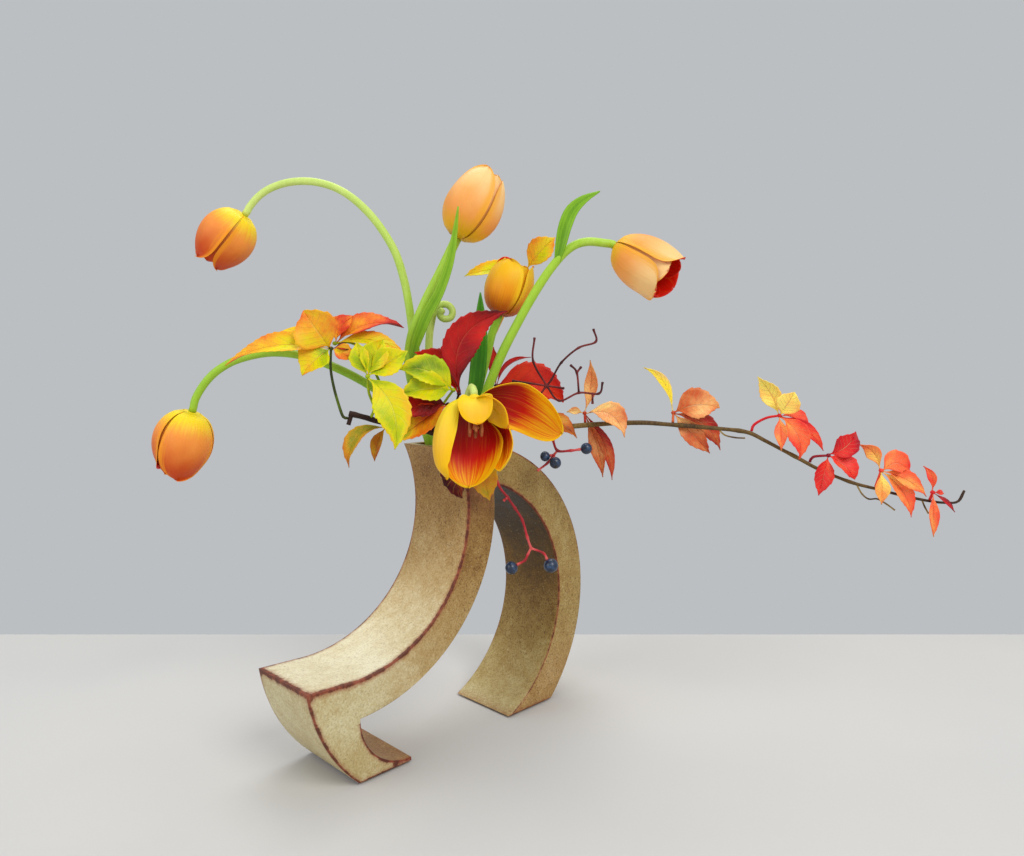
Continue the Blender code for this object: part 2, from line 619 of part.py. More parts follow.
def tube(path, radii, resolution=2):
    """A round stem with flat ends along a path, with a radius for each of its points."""
    curve = bpy.data.curves.new("tube", "CURVE")
    curve.dimensions = "3D"
    curve.bevel_depth = MM
    curve.bevel_resolution = resolution
    curve.use_fill_caps = True
    spline = curve.splines.new("POLY")
    spline.points.add(len(path) - 1)
    for point, place, radius in zip(spline.points, path, radii):
        point.co = (*(place * MM), 1)
        point.radius = radius
    guide = add_object("tube", curve)
    mesh = applied(guide)
    bpy.data.objects.remove(guide)
    shape = bmesh.new()
    shape.from_mesh(mesh)
    bmesh.ops.remove_doubles(shape, verts=shape.verts, dist=1e-7)
    bmesh.ops.recalc_face_normals(shape, faces=shape.faces)
    shape.to_mesh(mesh)
    shape.free()
    return add_object("tube", mesh)


def stalk(points, radius):
    """A thin stalk with corners at the given points."""
    path = [Vector(p) for p in points]
    return tube(path, [radius] * len(path), resolution=0)


def turned(base, axis, profile, sides=8):
    """A closed solid of revolution: profile points are (along the axis, radius)."""
    shape = bmesh.new()
    frame = axis.to_track_quat("Z", "Y")
    rings = []
    for along, radius in profile:
        ring = []
        for i in range(sides):
            angle = math.tau * i / sides
            spoke = Vector((radius * math.cos(angle), radius * math.sin(angle), along))
            ring.append(shape.verts.new(base + frame @ spoke))
        rings.append(ring)
    for lower, upper in zip(rings, rings[1:]):
        for i in range(sides):
            j = (i + 1) % sides
            shape.faces.new((lower[i], lower[j], upper[j], upper[i]))
    shape.faces.new(list(reversed(rings[0])))
    shape.faces.new(rings[-1])
    return from_bmesh(shape)


def ball(centre, radius, subdivisions=1):
    shape = bmesh.new()
    bmesh.ops.create_icosphere(shape, subdivisions=subdivisions, radius=radius,
                               matrix=Matrix.Translation(centre))
    return from_bmesh(shape)


def blade(spine, half_widths, sides, curls, thickness, columns=2):
    """A thin closed petal or leaf about its middle line.

    sides holds the direction across for each point of the spine, and curls the angle that each
    edge turns towards the face.
    """
    shape = bmesh.new()
    last = len(spine) - 1
    face_rows, back_rows = [], []
    for i, middle in enumerate(spine):
        along = (spine[min(i + 1, last)] - spine[max(i - 1, 0)]).normalized()
        across = (sides[i] - along * sides[i].dot(along)).normalized()
        up = across.cross(along)
        face_row, back_row = [], []
        for column in range(columns + 1):
            share = 2 * column / columns - 1
            turn = curls[i] * share
            out = half_widths[i] * math.sin(turn) / curls[i]
            lift = half_widths[i] * (1 - math.cos(turn)) / curls[i]
            place = middle + across * out + up * lift
            normal = up * math.cos(turn) - across * math.sin(turn)
            face_row.append(shape.verts.new(place))
            back_row.append(shape.verts.new(place - normal * thickness))
        face_rows.append(face_row)
        back_rows.append(back_row)
    for i in range(last):
        for j in range(columns):
            for rows in (face_rows, back_rows):
                a, b = rows[i][j], rows[i][j + 1]
                c, d = rows[i + 1][j + 1], rows[i + 1][j]
                shape.faces.new((a, b, c))
                shape.faces.new((a, c, d))
        for j in (0, columns):
            shape.faces.new((face_rows[i][j], face_rows[i + 1][j], back_rows[i][j]))
            shape.faces.new((face_rows[i + 1][j], back_rows[i + 1][j], back_rows[i][j]))
    for i in (0, last):
        for j in range(columns):
            shape.faces.new((face_rows[i][j], face_rows[i][j + 1],
                             back_rows[i][j + 1], back_rows[i][j]))
    return from_bmesh(shape)


# ---------------------------------------------------------------- the pieces


def slab(outline, near, far):
    """A prism of a profile between two depths of the vase."""
    shape = bmesh.new()
    front = shape.faces.new([shape.verts.new(in_vase(s, near, z)) for s, z in outline])
    through = in_vase(0, far, 0) - in_vase(0, near, 0)
    extruded = bmesh.ops.extrude_face_region(shape, geom=[front], use_keep_orig=True)
    moved = [part for part in extruded["geom"] if isinstance(part, bmesh.types.BMVert)]
    bmesh.ops.translate(shape, vec=through, verts=moved)
    return from_bmesh(shape)


def make_vase():
    body = slab(vase_outline(), 0, VASE_DEPTH)
    rounding = body.modifiers.new("rounding", "BEVEL")
    rounding.width = EDGE_ROUNDING * MM
    rounding.segments = 1
    rounding.limit_method = "ANGLE"
    rounding.angle_limit = math.radians(35)
    rounded = add_object("rounded", applied(body))
    bpy.data.objects.remove(body)
    hollow = slab(cavity_outline(), WALL, VASE_DEPTH - WALL)
    node("vase", "stoneware", [combine("DIFFERENCE", rounded, [hollow])])


def make_foot_pads():
    for name, (along, deep) in PAD_PLACES.items():
        top = in_vase(along, deep, -GAP)
        down = Vector((0, 0, -1))
        node(name, "felt", [turned(top, down, ((0, PAD_RADIUS), (PAD_HEIGHT, PAD_RADIUS)))])


def plant_path(plant, spacing=STEM_POINT_SPACING):
    """The path of a stem from its cut end in the water, out of the mouth and on."""
    points = [in_vase(*p) for p in plant["foot"]] + [Vector(p) for p in plant["stem"]]
    if "base" in plant:
        base, axis = Vector(plant["base"]), Vector(plant["axis"]).normalized()
        points += [base - axis * STRAIGHT_NECK, base - axis * GAP]
    return smooth_path(points, spacing)


def make_water(plants):
    """The water in the vase, with a plain hole for every stem that stands in it."""
    outline = below(drawn_in(cavity_outline(), GAP), WATER_LEVEL)
    body = slab(outline, WALL + GAP, VASE_DEPTH - WALL - GAP)
    holes = []
    for plant in plants:
        path = plant_path(plant)
        wet = [point for point in path if point.z < WATER_LEVEL + 2 * STEM_POINT_SPACING]
        tip = wet[0] + (wet[0] - wet[1]).normalized() * GAP
        radii = tapered(plant["radii"], len(path))[:len(wet)]
        holes.append(tube([tip, *wet], [r + GAP for r in radii[:1] + radii]))
    node("water", "water", [combine("DIFFERENCE", body, holes)])


def tulip_leaf(name):
    spine, side, half_widths, curl = TULIP_LEAVES[name]
    middle = [Vector(p) for p in spine]
    count = len(middle)
    return blade(middle, half_widths, [Vector(side)] * count, [curl] * count, 1.2, columns=2)


def make_stems():
    for name, plant in TULIPS.items():
        path = plant_path(plant)
        pieces = [tube(path, tapered(plant["radii"], len(path)))]
        if name in ("top", "right"):
            pieces.append(tulip_leaf(name))
        node("tulip_stem_" + name, "tulip_stem", pieces)
    node("tulip_leaf_center", "tulip_leaf", [tulip_leaf("center")])
    shoot = plant_path(SHOOT, SHOOT_POINT_SPACING)
    node("curled_shoot", "pale_shoot", [tube(shoot, tapered(SHOOT["radii"], len(shoot)))])


def bloom_radius(share, closing):
    """A closed bloom's radius at a share of its height, as a share of its greatest radius."""
    return math.sin(math.pi * (0.03 + closing * share ** 0.85)) ** 0.5


def closed_petal(plant, turn, length, scale, stretch, reach, columns):
    """A petal wrapped round the bloom's axis, `turn` degrees about it."""
    base, axis = Vector(plant["base"]), Vector(plant["axis"]).normalized()
    frame = axis.to_track_quat("Z", "Y")
    angle = math.radians(turn)
    out = frame @ Vector((math.cos(angle), math.sin(angle), 0))
    side = frame @ Vector((-math.sin(angle), math.cos(angle), 0))
    spine, half_widths, curls = [], [], []
    for share in CLOSED_PETAL_ROWS:
        radius = scale * plant["width"] / 2 * bloom_radius(share, plant["closing"])
        wrap = reach * max(0.0, math.cos(math.pi / 2 * share ** 6)) ** 0.5 + 0.05
        spine.append(base + axis * length * stretch * share + out * radius)
        half_widths.append(max(radius * wrap, 0.6))
        curls.append(-wrap)
    return blade(spine, half_widths, [side] * len(spine), curls, PETAL_THICKNESS, columns)


def make_closed_blooms():
    for name, plant in TULIPS.items():
        if "length" not in plant:
            continue
        base, axis = Vector(plant["base"]), Vector(plant["axis"]).normalized()
        widest = plant["width"] / 2
        core = [(plant["length"] * share, widest * thick * bloom_radius(share, plant["closing"]))
                for share, thick in CORE_ROWS]
        pieces = [turned(base, axis, core, sides=8)]
        for i in range(3):
            turn = plant["turn"] + 120 * i
            length = plant["length"] * PETAL_LENGTHS[i]
            pieces.append(closed_petal(plant, turn, length, *OUTER_PETAL, columns=3))
            pieces.append(closed_petal(plant, turn + 60, length, *INNER_PETAL, columns=2))
        node("tulip_bloom_" + name, "petal", pieces)


def petal_width(share):
    """An open petal's width at a share of its length, as a share of its greatest width."""
    root = math.sin(math.pi / 2 * min(1, 0.08 + 1.9 * share))
    return max(0.05, root * math.sqrt(1 - share ** 5))


def make_open_bloom():
    plant = TULIPS["front"]
    base, axis = Vector(plant["base"]), Vector(plant["axis"]).normalized()
    pieces = [turned(base, axis, RECEPTACLE)]
    for points, side, half_width, curl in OPEN_PETALS.values():
        spine = smooth_path(points, OPEN_PETAL_ROW_SPACING)
        count = len(spine)
        widths = [half_width * petal_width(i / (count - 1)) for i in range(count)]
        pieces.append(blade(spine, widths, [Vector(side)] * count, [curl] * count,
                            PETAL_THICKNESS, columns=3))
    node("tulip_bloom_front", "petal_deep", pieces)

    frame = axis.to_track_quat("Z", "Y")
    start = base + axis * STAMEN_DISC[0][0]
    pieces = [turned(base, axis, STAMEN_DISC)]
    pieces.append(stalk([start + axis, start + axis * PISTIL_LENGTH], 1.6))
    for i in range(STAMEN_COUNT):
        angle = math.tau * (i + 0.5) / STAMEN_COUNT
        out = frame @ Vector((math.cos(angle), math.sin(angle), 0))
        root = start + axis + out * 2
        bend = root + axis * STAMEN_LENGTH * 0.5 + out * 2.4
        tip = root + axis * STAMEN_LENGTH + out * 3.2
        pieces.append(tube([root, bend, tip], (0.8, 0.9, 1.3), 0))
    node("tulip_stamens", "stamen", pieces)


def make_vine_and_twig():
    """Make the creeper's stems; returns the path and radii of each that carries leaves."""
    vine = plant_path(VINE)
    vine_radii = tapered(VINE["radii"], len(vine))
    tendrils = [stalk(tendril, TENDRIL_RADIUS) for tendril in TENDRILS]
    node("creeper_vine", "vine", [tube(vine, vine_radii, 1), *tendrils])
    twig = plant_path(TWIG)
    twig_radii = tapered(TWIG["radii"], len(twig))
    stub = [Vector(point) for point in TWIG_STUB]
    stub_radii = [TWIG_STUB_RADIUS] * len(stub)
    node("creeper_twig", "bark", [tube(twig, twig_radii, 1), tube(stub, stub_radii, 1)])
    return {"vine": (vine, vine_radii), "twig": (twig, twig_radii), "stub": (stub, stub_radii)}


def seat(carrier, place):
    """The point just off the side of a round carrier that is nearest to a place."""
    path, radii = carrier
    seats = []
    for i in range(len(path) - 1):
        nearest, share = intersect_point_line(place, path[i], path[i + 1])
        share = min(max(share, 0), 1)
        nearest = path[i].lerp(path[i + 1], share)
        radius = radii[i] + (radii[i + 1] - radii[i]) * share
        away = place - nearest
        seats.append((away.length, nearest + away.normalized() * (radius + GAP)))
    return min(seats, key=lambda found: found[0])[1]


def leaflet(joint, tip, width, facing, arch, sway):
    """One leaflet from the leaf's joint to its tip."""
    along = (tip - joint).normalized()
    start = joint + along * JOINT_RADIUS * ROOT_DEPTH
    up = (facing - along * facing.dot(along)).normalized()
    across = along.cross(up)
    narrow = width <= NARROW_WIDTH
    spine, half_widths = [], []
    for share, wide in NARROW_ROWS if narrow else BROAD_ROWS:
        bend = (up * arch + across * sway) * 4 * share * (1 - share)
        spine.append(start.lerp(tip, share) + bend)
        half_widths.append(max(width / 2 * wide, 0.5))
    count = len(spine)
    return blade(spine, half_widths, [across] * count, [LEAFLET_CURL] * count,
                 LEAFLET_THICKNESS, columns=1 if narrow else 2)


def make_leaves(carriers):
    for name, (finish, joint, carrier, petiole, leaflets) in LEAVES.items():
        centre = Vector(joint)
        path = [Vector(point) for point in petiole] + [centre]
        if carrier:
            path.insert(0, seat(carriers[carrier], path[0]))
        pieces = [ball(centre, JOINT_RADIUS), stalk(path, PETIOLE_RADIUS)]
        for tip, width, facing, *bends in leaflets:
            pieces.append(leaflet(centre, Vector(tip), width, Vector(facing).normalized(), *bends))
        node(name, finish, pieces)


def make_berries(carriers):
    for name, (finish, radius, runs) in STALKS.items():
        start = seat(carriers["vine"], Vector(runs[0][0]))
        pieces = [stalk([start, *runs[0]], radius)]
        pieces += [stalk(run, radius) for run in runs[1:]]
        node(name, finish, pieces)
    for name, (carrier, index, radius) in BERRIES.items():
        before, end = [Vector(point) for point in STALKS[carrier][2][index][-2:]]
        centre = end + (end - before).normalized() * (radius + GAP)
        node(name, "berry", [ball(centre, radius, 2)])


def hang_on_root():
    """Hang every node on one empty and bring the arrangement's base to the origin."""
    nodes = list(bpy.context.scene.collection.objects)
    corners = [vertex.co for part in nodes for vertex in part.data.vertices]
    low = Vector([min(corner[axis] for corner in corners) for axis in range(3)])
    high = Vector([max(corner[axis] for corner in corners) for axis in range(3)])
    root = bpy.data.objects.new("ikebana", None)
    bpy.context.scene.collection.objects.link(root)
    root.location = (-(low.x + high.x) / 2, -(low.y + high.y) / 2, -low.z)
    for part in nodes:
        part.parent = root


def main():
    for old in list(bpy.data.objects):
        bpy.data.objects.remove(old)
    make_vase()
    make_foot_pads()
    make_water([*TULIPS.values(), SHOOT, VINE, TWIG])
    make_stems()
    make_closed_blooms()
    make_open_bloom()
    carriers = make_vine_and_twig()
    make_leaves(carriers)
    make_berries(carriers)
    hang_on_root()


main()
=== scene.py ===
"""Ikebana arrangement in its finished look: six tulips, autumn creeper and berries in a vase.

Design values are in millimetres in the same frame as the solids' source: the origin on the table
under the middle of the vase, +X right, +Y away from the viewer, +Z up. The vase is a thick slab
turned 45 degrees; places in and on it are (along, deep, up). Each piece is a mesh with two
attributes that its finish reads: "grain" (across, along, own number) and "tone" (a ripeness, a
depth of colour or a lightness, whichever its finish wants). The vase has a third one, "glaze".
Colours are given as they look on a screen, from 0 to 255.
"""
import math

import bpy
import numpy as np
from mathutils import Matrix, Vector
from mathutils.geometry import delaunay_2d_cdt


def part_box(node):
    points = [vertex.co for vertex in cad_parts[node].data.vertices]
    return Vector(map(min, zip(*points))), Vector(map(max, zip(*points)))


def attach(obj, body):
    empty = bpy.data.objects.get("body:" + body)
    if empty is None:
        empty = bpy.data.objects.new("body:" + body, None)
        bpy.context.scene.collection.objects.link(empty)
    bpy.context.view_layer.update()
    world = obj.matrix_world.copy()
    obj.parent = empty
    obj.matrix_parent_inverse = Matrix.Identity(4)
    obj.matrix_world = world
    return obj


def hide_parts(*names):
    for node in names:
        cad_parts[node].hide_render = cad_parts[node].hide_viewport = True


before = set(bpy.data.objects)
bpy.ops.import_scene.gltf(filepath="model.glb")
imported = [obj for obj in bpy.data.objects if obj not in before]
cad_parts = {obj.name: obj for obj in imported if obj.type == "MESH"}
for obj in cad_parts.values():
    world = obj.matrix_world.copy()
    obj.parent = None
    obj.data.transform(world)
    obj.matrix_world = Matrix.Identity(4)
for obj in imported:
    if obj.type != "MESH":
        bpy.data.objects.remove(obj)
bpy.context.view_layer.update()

MM = 0.001
GAP = 0.3

# The row frame from the design frame: the vase's box is the same in both.
VASE_MIDDLE = (-0.369, -0.379)
vase_low, vase_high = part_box("vase")
SHIFT = np.array([(vase_low.x + vase_high.x) / 2 - VASE_MIDDLE[0] * MM,
                  (vase_low.y + vase_high.y) / 2 - VASE_MIDDLE[1] * MM, vase_low.z])

# ---------------------------------------------------------------- the solids' own numbers

VASE_TURN = math.radians(45)
VASE_PLACE = (59.0, 10.2)  # where the profile's origin, the right foot's inner corner, stands
VASE_DEPTH = 69
WALL = 6
TOP = 236

LEFT_CENTRE = (-155, 187)  # the left leg curves round this point
LEFT_INNER, LEFT_OUTER = 109.5, 139
RIGHT_CENTRE = (-45.6, 99)  # and the right leg round this one
RIGHT_INNER, RIGHT_OUTER = 109.3, 140.5
LIP = (-193.7, 79)  # the end of the left leg's hollow face
HEEL = (-152.4, 0)
TOE = (-105, 0)
TOE_TOP = (-105, 2.8)
NOTCH_TOP = (-150.6, 48.3)
NOTCH_BULGE = 13.5  # sagittas of the two short arcs at the left foot, inward and outward
END_BULGE = -7.5
MOUTH_RIGHT = -20  # the mouth's right edge, along the profile
CAVITY_FLOOR = 8  # of the right leg
# The left leg's hollow ends on the line from the leg's centre to this point.
CAVITY_END = (LEFT_CENTRE[0] - LEFT_CENTRE[1] * math.tan(math.radians(2)), 0)
EDGE_ROUNDING = 1.2

# Each stem runs from its cut end in the water, `foot`, in the vase's places, out of the mouth to
# its bloom, which stands on the stem's end at `base` and points along `axis`. `light` says how
# pale the stem is at either end, and `leaf_tone` how pale a leaf that grows on it is. A closed
# bloom has a length, a greatest width, the `turn` of its first petal about the axis, in degrees,
# and how far its mouth is `closing`; its look is "petal" where it has none of its own.
TULIPS = {
    "far_left": dict(
        foot=[(-31, 38, 198), (-38, 35, 216), (-44, 33, 237)],
        stem=[(-14, -3, 256), (-36, -9, 274), (-53, -17, 287), (-70, -22, 297), (-88, -25, 305),
              (-104, -27, 310), (-120, -28, 312), (-134, -29, 311), (-150, -30, 307),
              (-161, -30, 302), (-171, -30, 295), (-179, -30, 286), (-185, -30, 276)],
        radii=(3.6, 3), light=(0.4, 0.62), base=(-188, -30, 266), axis=(-17, 0, -51), length=53,
        width=45, turn=-34, closing=0.9),
    "upper_left": dict(
        foot=[(-31, 56, 198), (-30, 57, 216), (-29, 57, 237)],
        stem=[(-9, 28, 265), (-16, 25, 295), (-21, 22, 325), (-24, 20, 350), (-28, 20, 372),
              (-34, 20, 392), (-43, 20, 409), (-55, 20, 425), (-70, 20, 439), (-86, 20, 448),
              (-103, 20, 452), (-121, 20, 451.5), (-136, 20, 447), (-147, 20, 440),
              (-155, 20, 431)],
        radii=(3.8, 2.9), light=(0.62, 1), base=(-159, 20, 425), axis=(-30, 0, -36), length=50,
        width=45, turn=40, closing=0.9),
    "top": dict(
        foot=[(-31, 47, 197), (-38, 49, 216), (-43, 51, 237)],
        stem=[(-15, 11, 262), (-20, 6, 285), (-22.5, 2, 306), (-19, -2, 326), (-13, -4, 341),
              (-6, -5, 356), (3, -5, 373), (11, -5, 389)],
        radii=(4.3, 4), light=(0.55, 0.72), leaf_tone=0.35, base=(18, -5, 403), axis=(28, 0, 50),
        length=59, width=46, turn=155, closing=0.92, look="petal_pale"),
    "center": dict(
        foot=[(-31, 29, 198), (-28, 27, 216), (-26, 25, 237)],
        stem=[(29, 9, 262), (36, 9.5, 290), (41, 10, 310), (45, 10, 327)],
        radii=(3.7, 3.4), light=(0.4, 0.55), base=(51, 10, 343), axis=(17, 0, 47), length=47,
        width=39, turn=35, closing=0.84, look="petal_gold"),
    "right": dict(
        foot=[(-31, 20, 198), (-30, 17, 216), (-29, 14, 237)],
        stem=[(34, -7, 258), (41, -13, 280), (48, -17, 298), (56, -19, 316), (66, -20, 335),
              (76, -20, 353), (86, -20, 369), (94, -20, 380), (103, -20, 390), (112, -20, 396),
              (122, -20, 398), (132, -20, 397)],
        radii=(4.1, 3.2), light=(0.45, 0.72), leaf_tone=0.25, base=(143, -20, 394),
        axis=(43, -21, -30), length=52, width=43, turn=100, closing=0.7, look="petal_pale"),
    "front": dict(
        foot=[(-31, 11.2, 197), (-37, 11.1, 216), (-40, 11.5, 238)],
        stem=[(24, -20, 258), (27, -30, 277), (30.5, -38.5, 285.5)],
        radii=(3.7, 2.8), light=(0.6, 1), base=(33, -47, 279), axis=(1, -9, -15)),
}
STRAIGHT_NECK = 4  # the last stretch of a stem, in line with its bloom

OUTER_PETAL = (1, 1, math.radians(56))  # radius, length, half the angle that a petal wraps
INNER_PETAL = (0.88, 0.96, math.radians(50))
PETAL_LENGTHS = (1, 0.95, 0.98)  # the three petals of a ring differ a little
PETAL_THICKNESS = 1.0
# The open bloom's petals: points along the middle, the direction across, the greatest half
# width, how far the two edges curl, in radians, and how red the face and the back are.
OPEN_PETALS = {
    "back": (
        [(33.2, -46.2, 274.5), (30, -41, 262), (29, -39, 246), (28.5, -43, 229),
         (28.5, -53, 210.5)],
        (1, 0, 0), 31, -1, (0.98, 0)),
    "left": (
        [(30.2, -48.9, 276.5), (24, -50, 278), (15, -53, 274), (8.5, -57, 265), (4.5, -60, 253),
         (3.5, -62, 240), (6, -63, 227), (13, -64, 218.5)],
        (0.45, -0.9, 0), 18, 1.3, (0, 1)),
    "right_inner": (
        [(35.7, -48.2, 276), (46, -47, 272), (54, -45, 260), (57.5, -47, 246), (57, -52, 234),
         (53, -58, 224)],
        (0.6, -0.8, 0), 17, -0.9, (0.9, 0)),
    "right": (
        [(36.2, -49, 276.7), (50, -46, 277.5), (68, -43, 272.5), (86, -46, 262), (99, -52, 251)],
        (0.2, -0.35, 0.9), 21, -0.6, (0.85, 0)),
    "front": (
        [(33.2, -51.2, 277.4), (34, -58, 277), (35.5, -66, 270), (36.5, -70, 260)],
        (1, 0, 0.1), 15, -0.9, (0, 1)),
    "front_right": (
        [(35.2, -50.7, 277), (44, -56, 276), (53, -61, 269), (58.5, -65, 257)],
        (0.5, -0.8, 0.3), 14, -0.8, (0, 1)),
}
RECEPTACLE = ((0, 3.6), (1.5, 5.2), (4.5, 5.8), (7, 4.4))  # (along the axis, radius)
STAMEN_DISC = ((7.3, 3.2), (9.3, 2.4))
STAMEN_COUNT = 6
STAMEN_LENGTH = 24
PISTIL_LENGTH = 19
STIGMA_RADIUS = 1.5  # of each of the pistil's three lobes

# A tulip leaf: points along its middle, the direction across, half widths and the curl.
TULIP_LEAVES = {
    "center": (
        [(20.1, -4.6, 227), (21.6, -2.8, 240), (25.2, -0.8, 258), (31, -1, 280), (34, -1, 300),
         (36, -2, 325), (36.3, -4, 345), (36.3, -6, 360)],
        (1, 0, 0), (2, 2.4, 4.2, 6.2, 6.8, 6.2, 4.2, 0.6), 0.5),
    "top": (
        [(-20, 1, 302), (-16, -6, 318), (-6, -13, 341), (5, -19, 360), (13.5, -25, 382),
         (18, -31, 403), (21, -36, 422)],
        (0.9, 0, -0.42), (2.6, 4.2, 4.6, 4.2, 3.6, 2.4, 0.6), 0.5),
    "right": (
        [(97, -21, 383), (100, -24, 397), (103, -26, 410), (108, -26, 421), (117, -26, 429),
         (129, -26, 435)],
        (0.75, -0.1, -0.65), (2.6, 4.6, 5.6, 5.4, 3.6, 0.6), 0.6),
}
CENTER_LEAF_TONE = 0.3

SHOOT = dict(
    foot=[(-22, 43, 218), (-27, 44, 227), (-33, 45, 238)],
    stem=[(0, 18, 260), (-4.5, 16, 282), (-7, 13.5, 303), (-7, 12, 320), (-5.5, 12, 334),
          (-3, 12, 344.5), (1.5, 11.5, 350.5), (8, 11, 351.5), (12.6, 10, 347), (11.6, 8.6, 341),
          (6, 6.8, 339.5), (2.6, 5.2, 343), (5, 4, 346.5)],
    radii=(3.8, 2.8))
SHOOT_LIGHT = (0.8, 0.35)

VINE = dict(
    foot=[(-19, 37, 217), (-23, 36, 227), (-25, 35, 238)],
    stem=[(31, 21, 245.5), (48, 18, 249), (75, 13, 250.5), (106, 8, 251), (134, 4, 253.5),
          (166, 0, 255), (194, -4, 253.5), (228, -9, 251), (250, -13, 248.5), (264, -15, 242),
          (278, -17, 234.5), (292, -20, 227), (307, -22, 219), (331, -26, 209.5), (349, -29, 205),
          (365, -32, 201), (388, -36, 196.5), (402, -37.5, 195.5), (409, -38, 197),
          (413, -38, 205)],
    radii=(2.5, 0.9))
TENDRILS = [
    [(228, -9, 251), (233, -11, 246), (241, -12, 244), (249, -12, 243.5)],
    [(334, -26.5, 208.5), (338, -28, 201), (343, -29, 197), (350, -29, 197), (357, -30, 193),
     (363, -31, 188.5)],
    [(382, -35, 197.5), (384, -36, 192), (387, -36, 187)],
]
TENDRIL_RADIUS = 0.7

TWIG = dict(
    foot=[(-40, 23, 214), (-43.5, 22.5, 227), (-45, 22, 239.5)],
    stem=[(2, -14, 247), (-14, -25, 252.5), (-38, -33, 258), (-52, -36, 262), (-64, -38, 265.5)],
    radii=(2.3, 2.1))
TWIG_STUB = [(-62, -37.6, 265), (-64.5, -38.5, 256.5)]
TWIG_STUB_RADIUS = 1.8

NARROW_WIDTH = 13.5  # the greatest width of a narrow leaflet
LEAFLET_THICKNESS = 0.8
LEAFLET_CURL = 0.55
JOINT_RADIUS = 2.2
ROOT_DEPTH = 0.7  # how far from the joint's middle the leaflets start, in joint radii
PETIOLE_RADII = (1.15, 0.95)

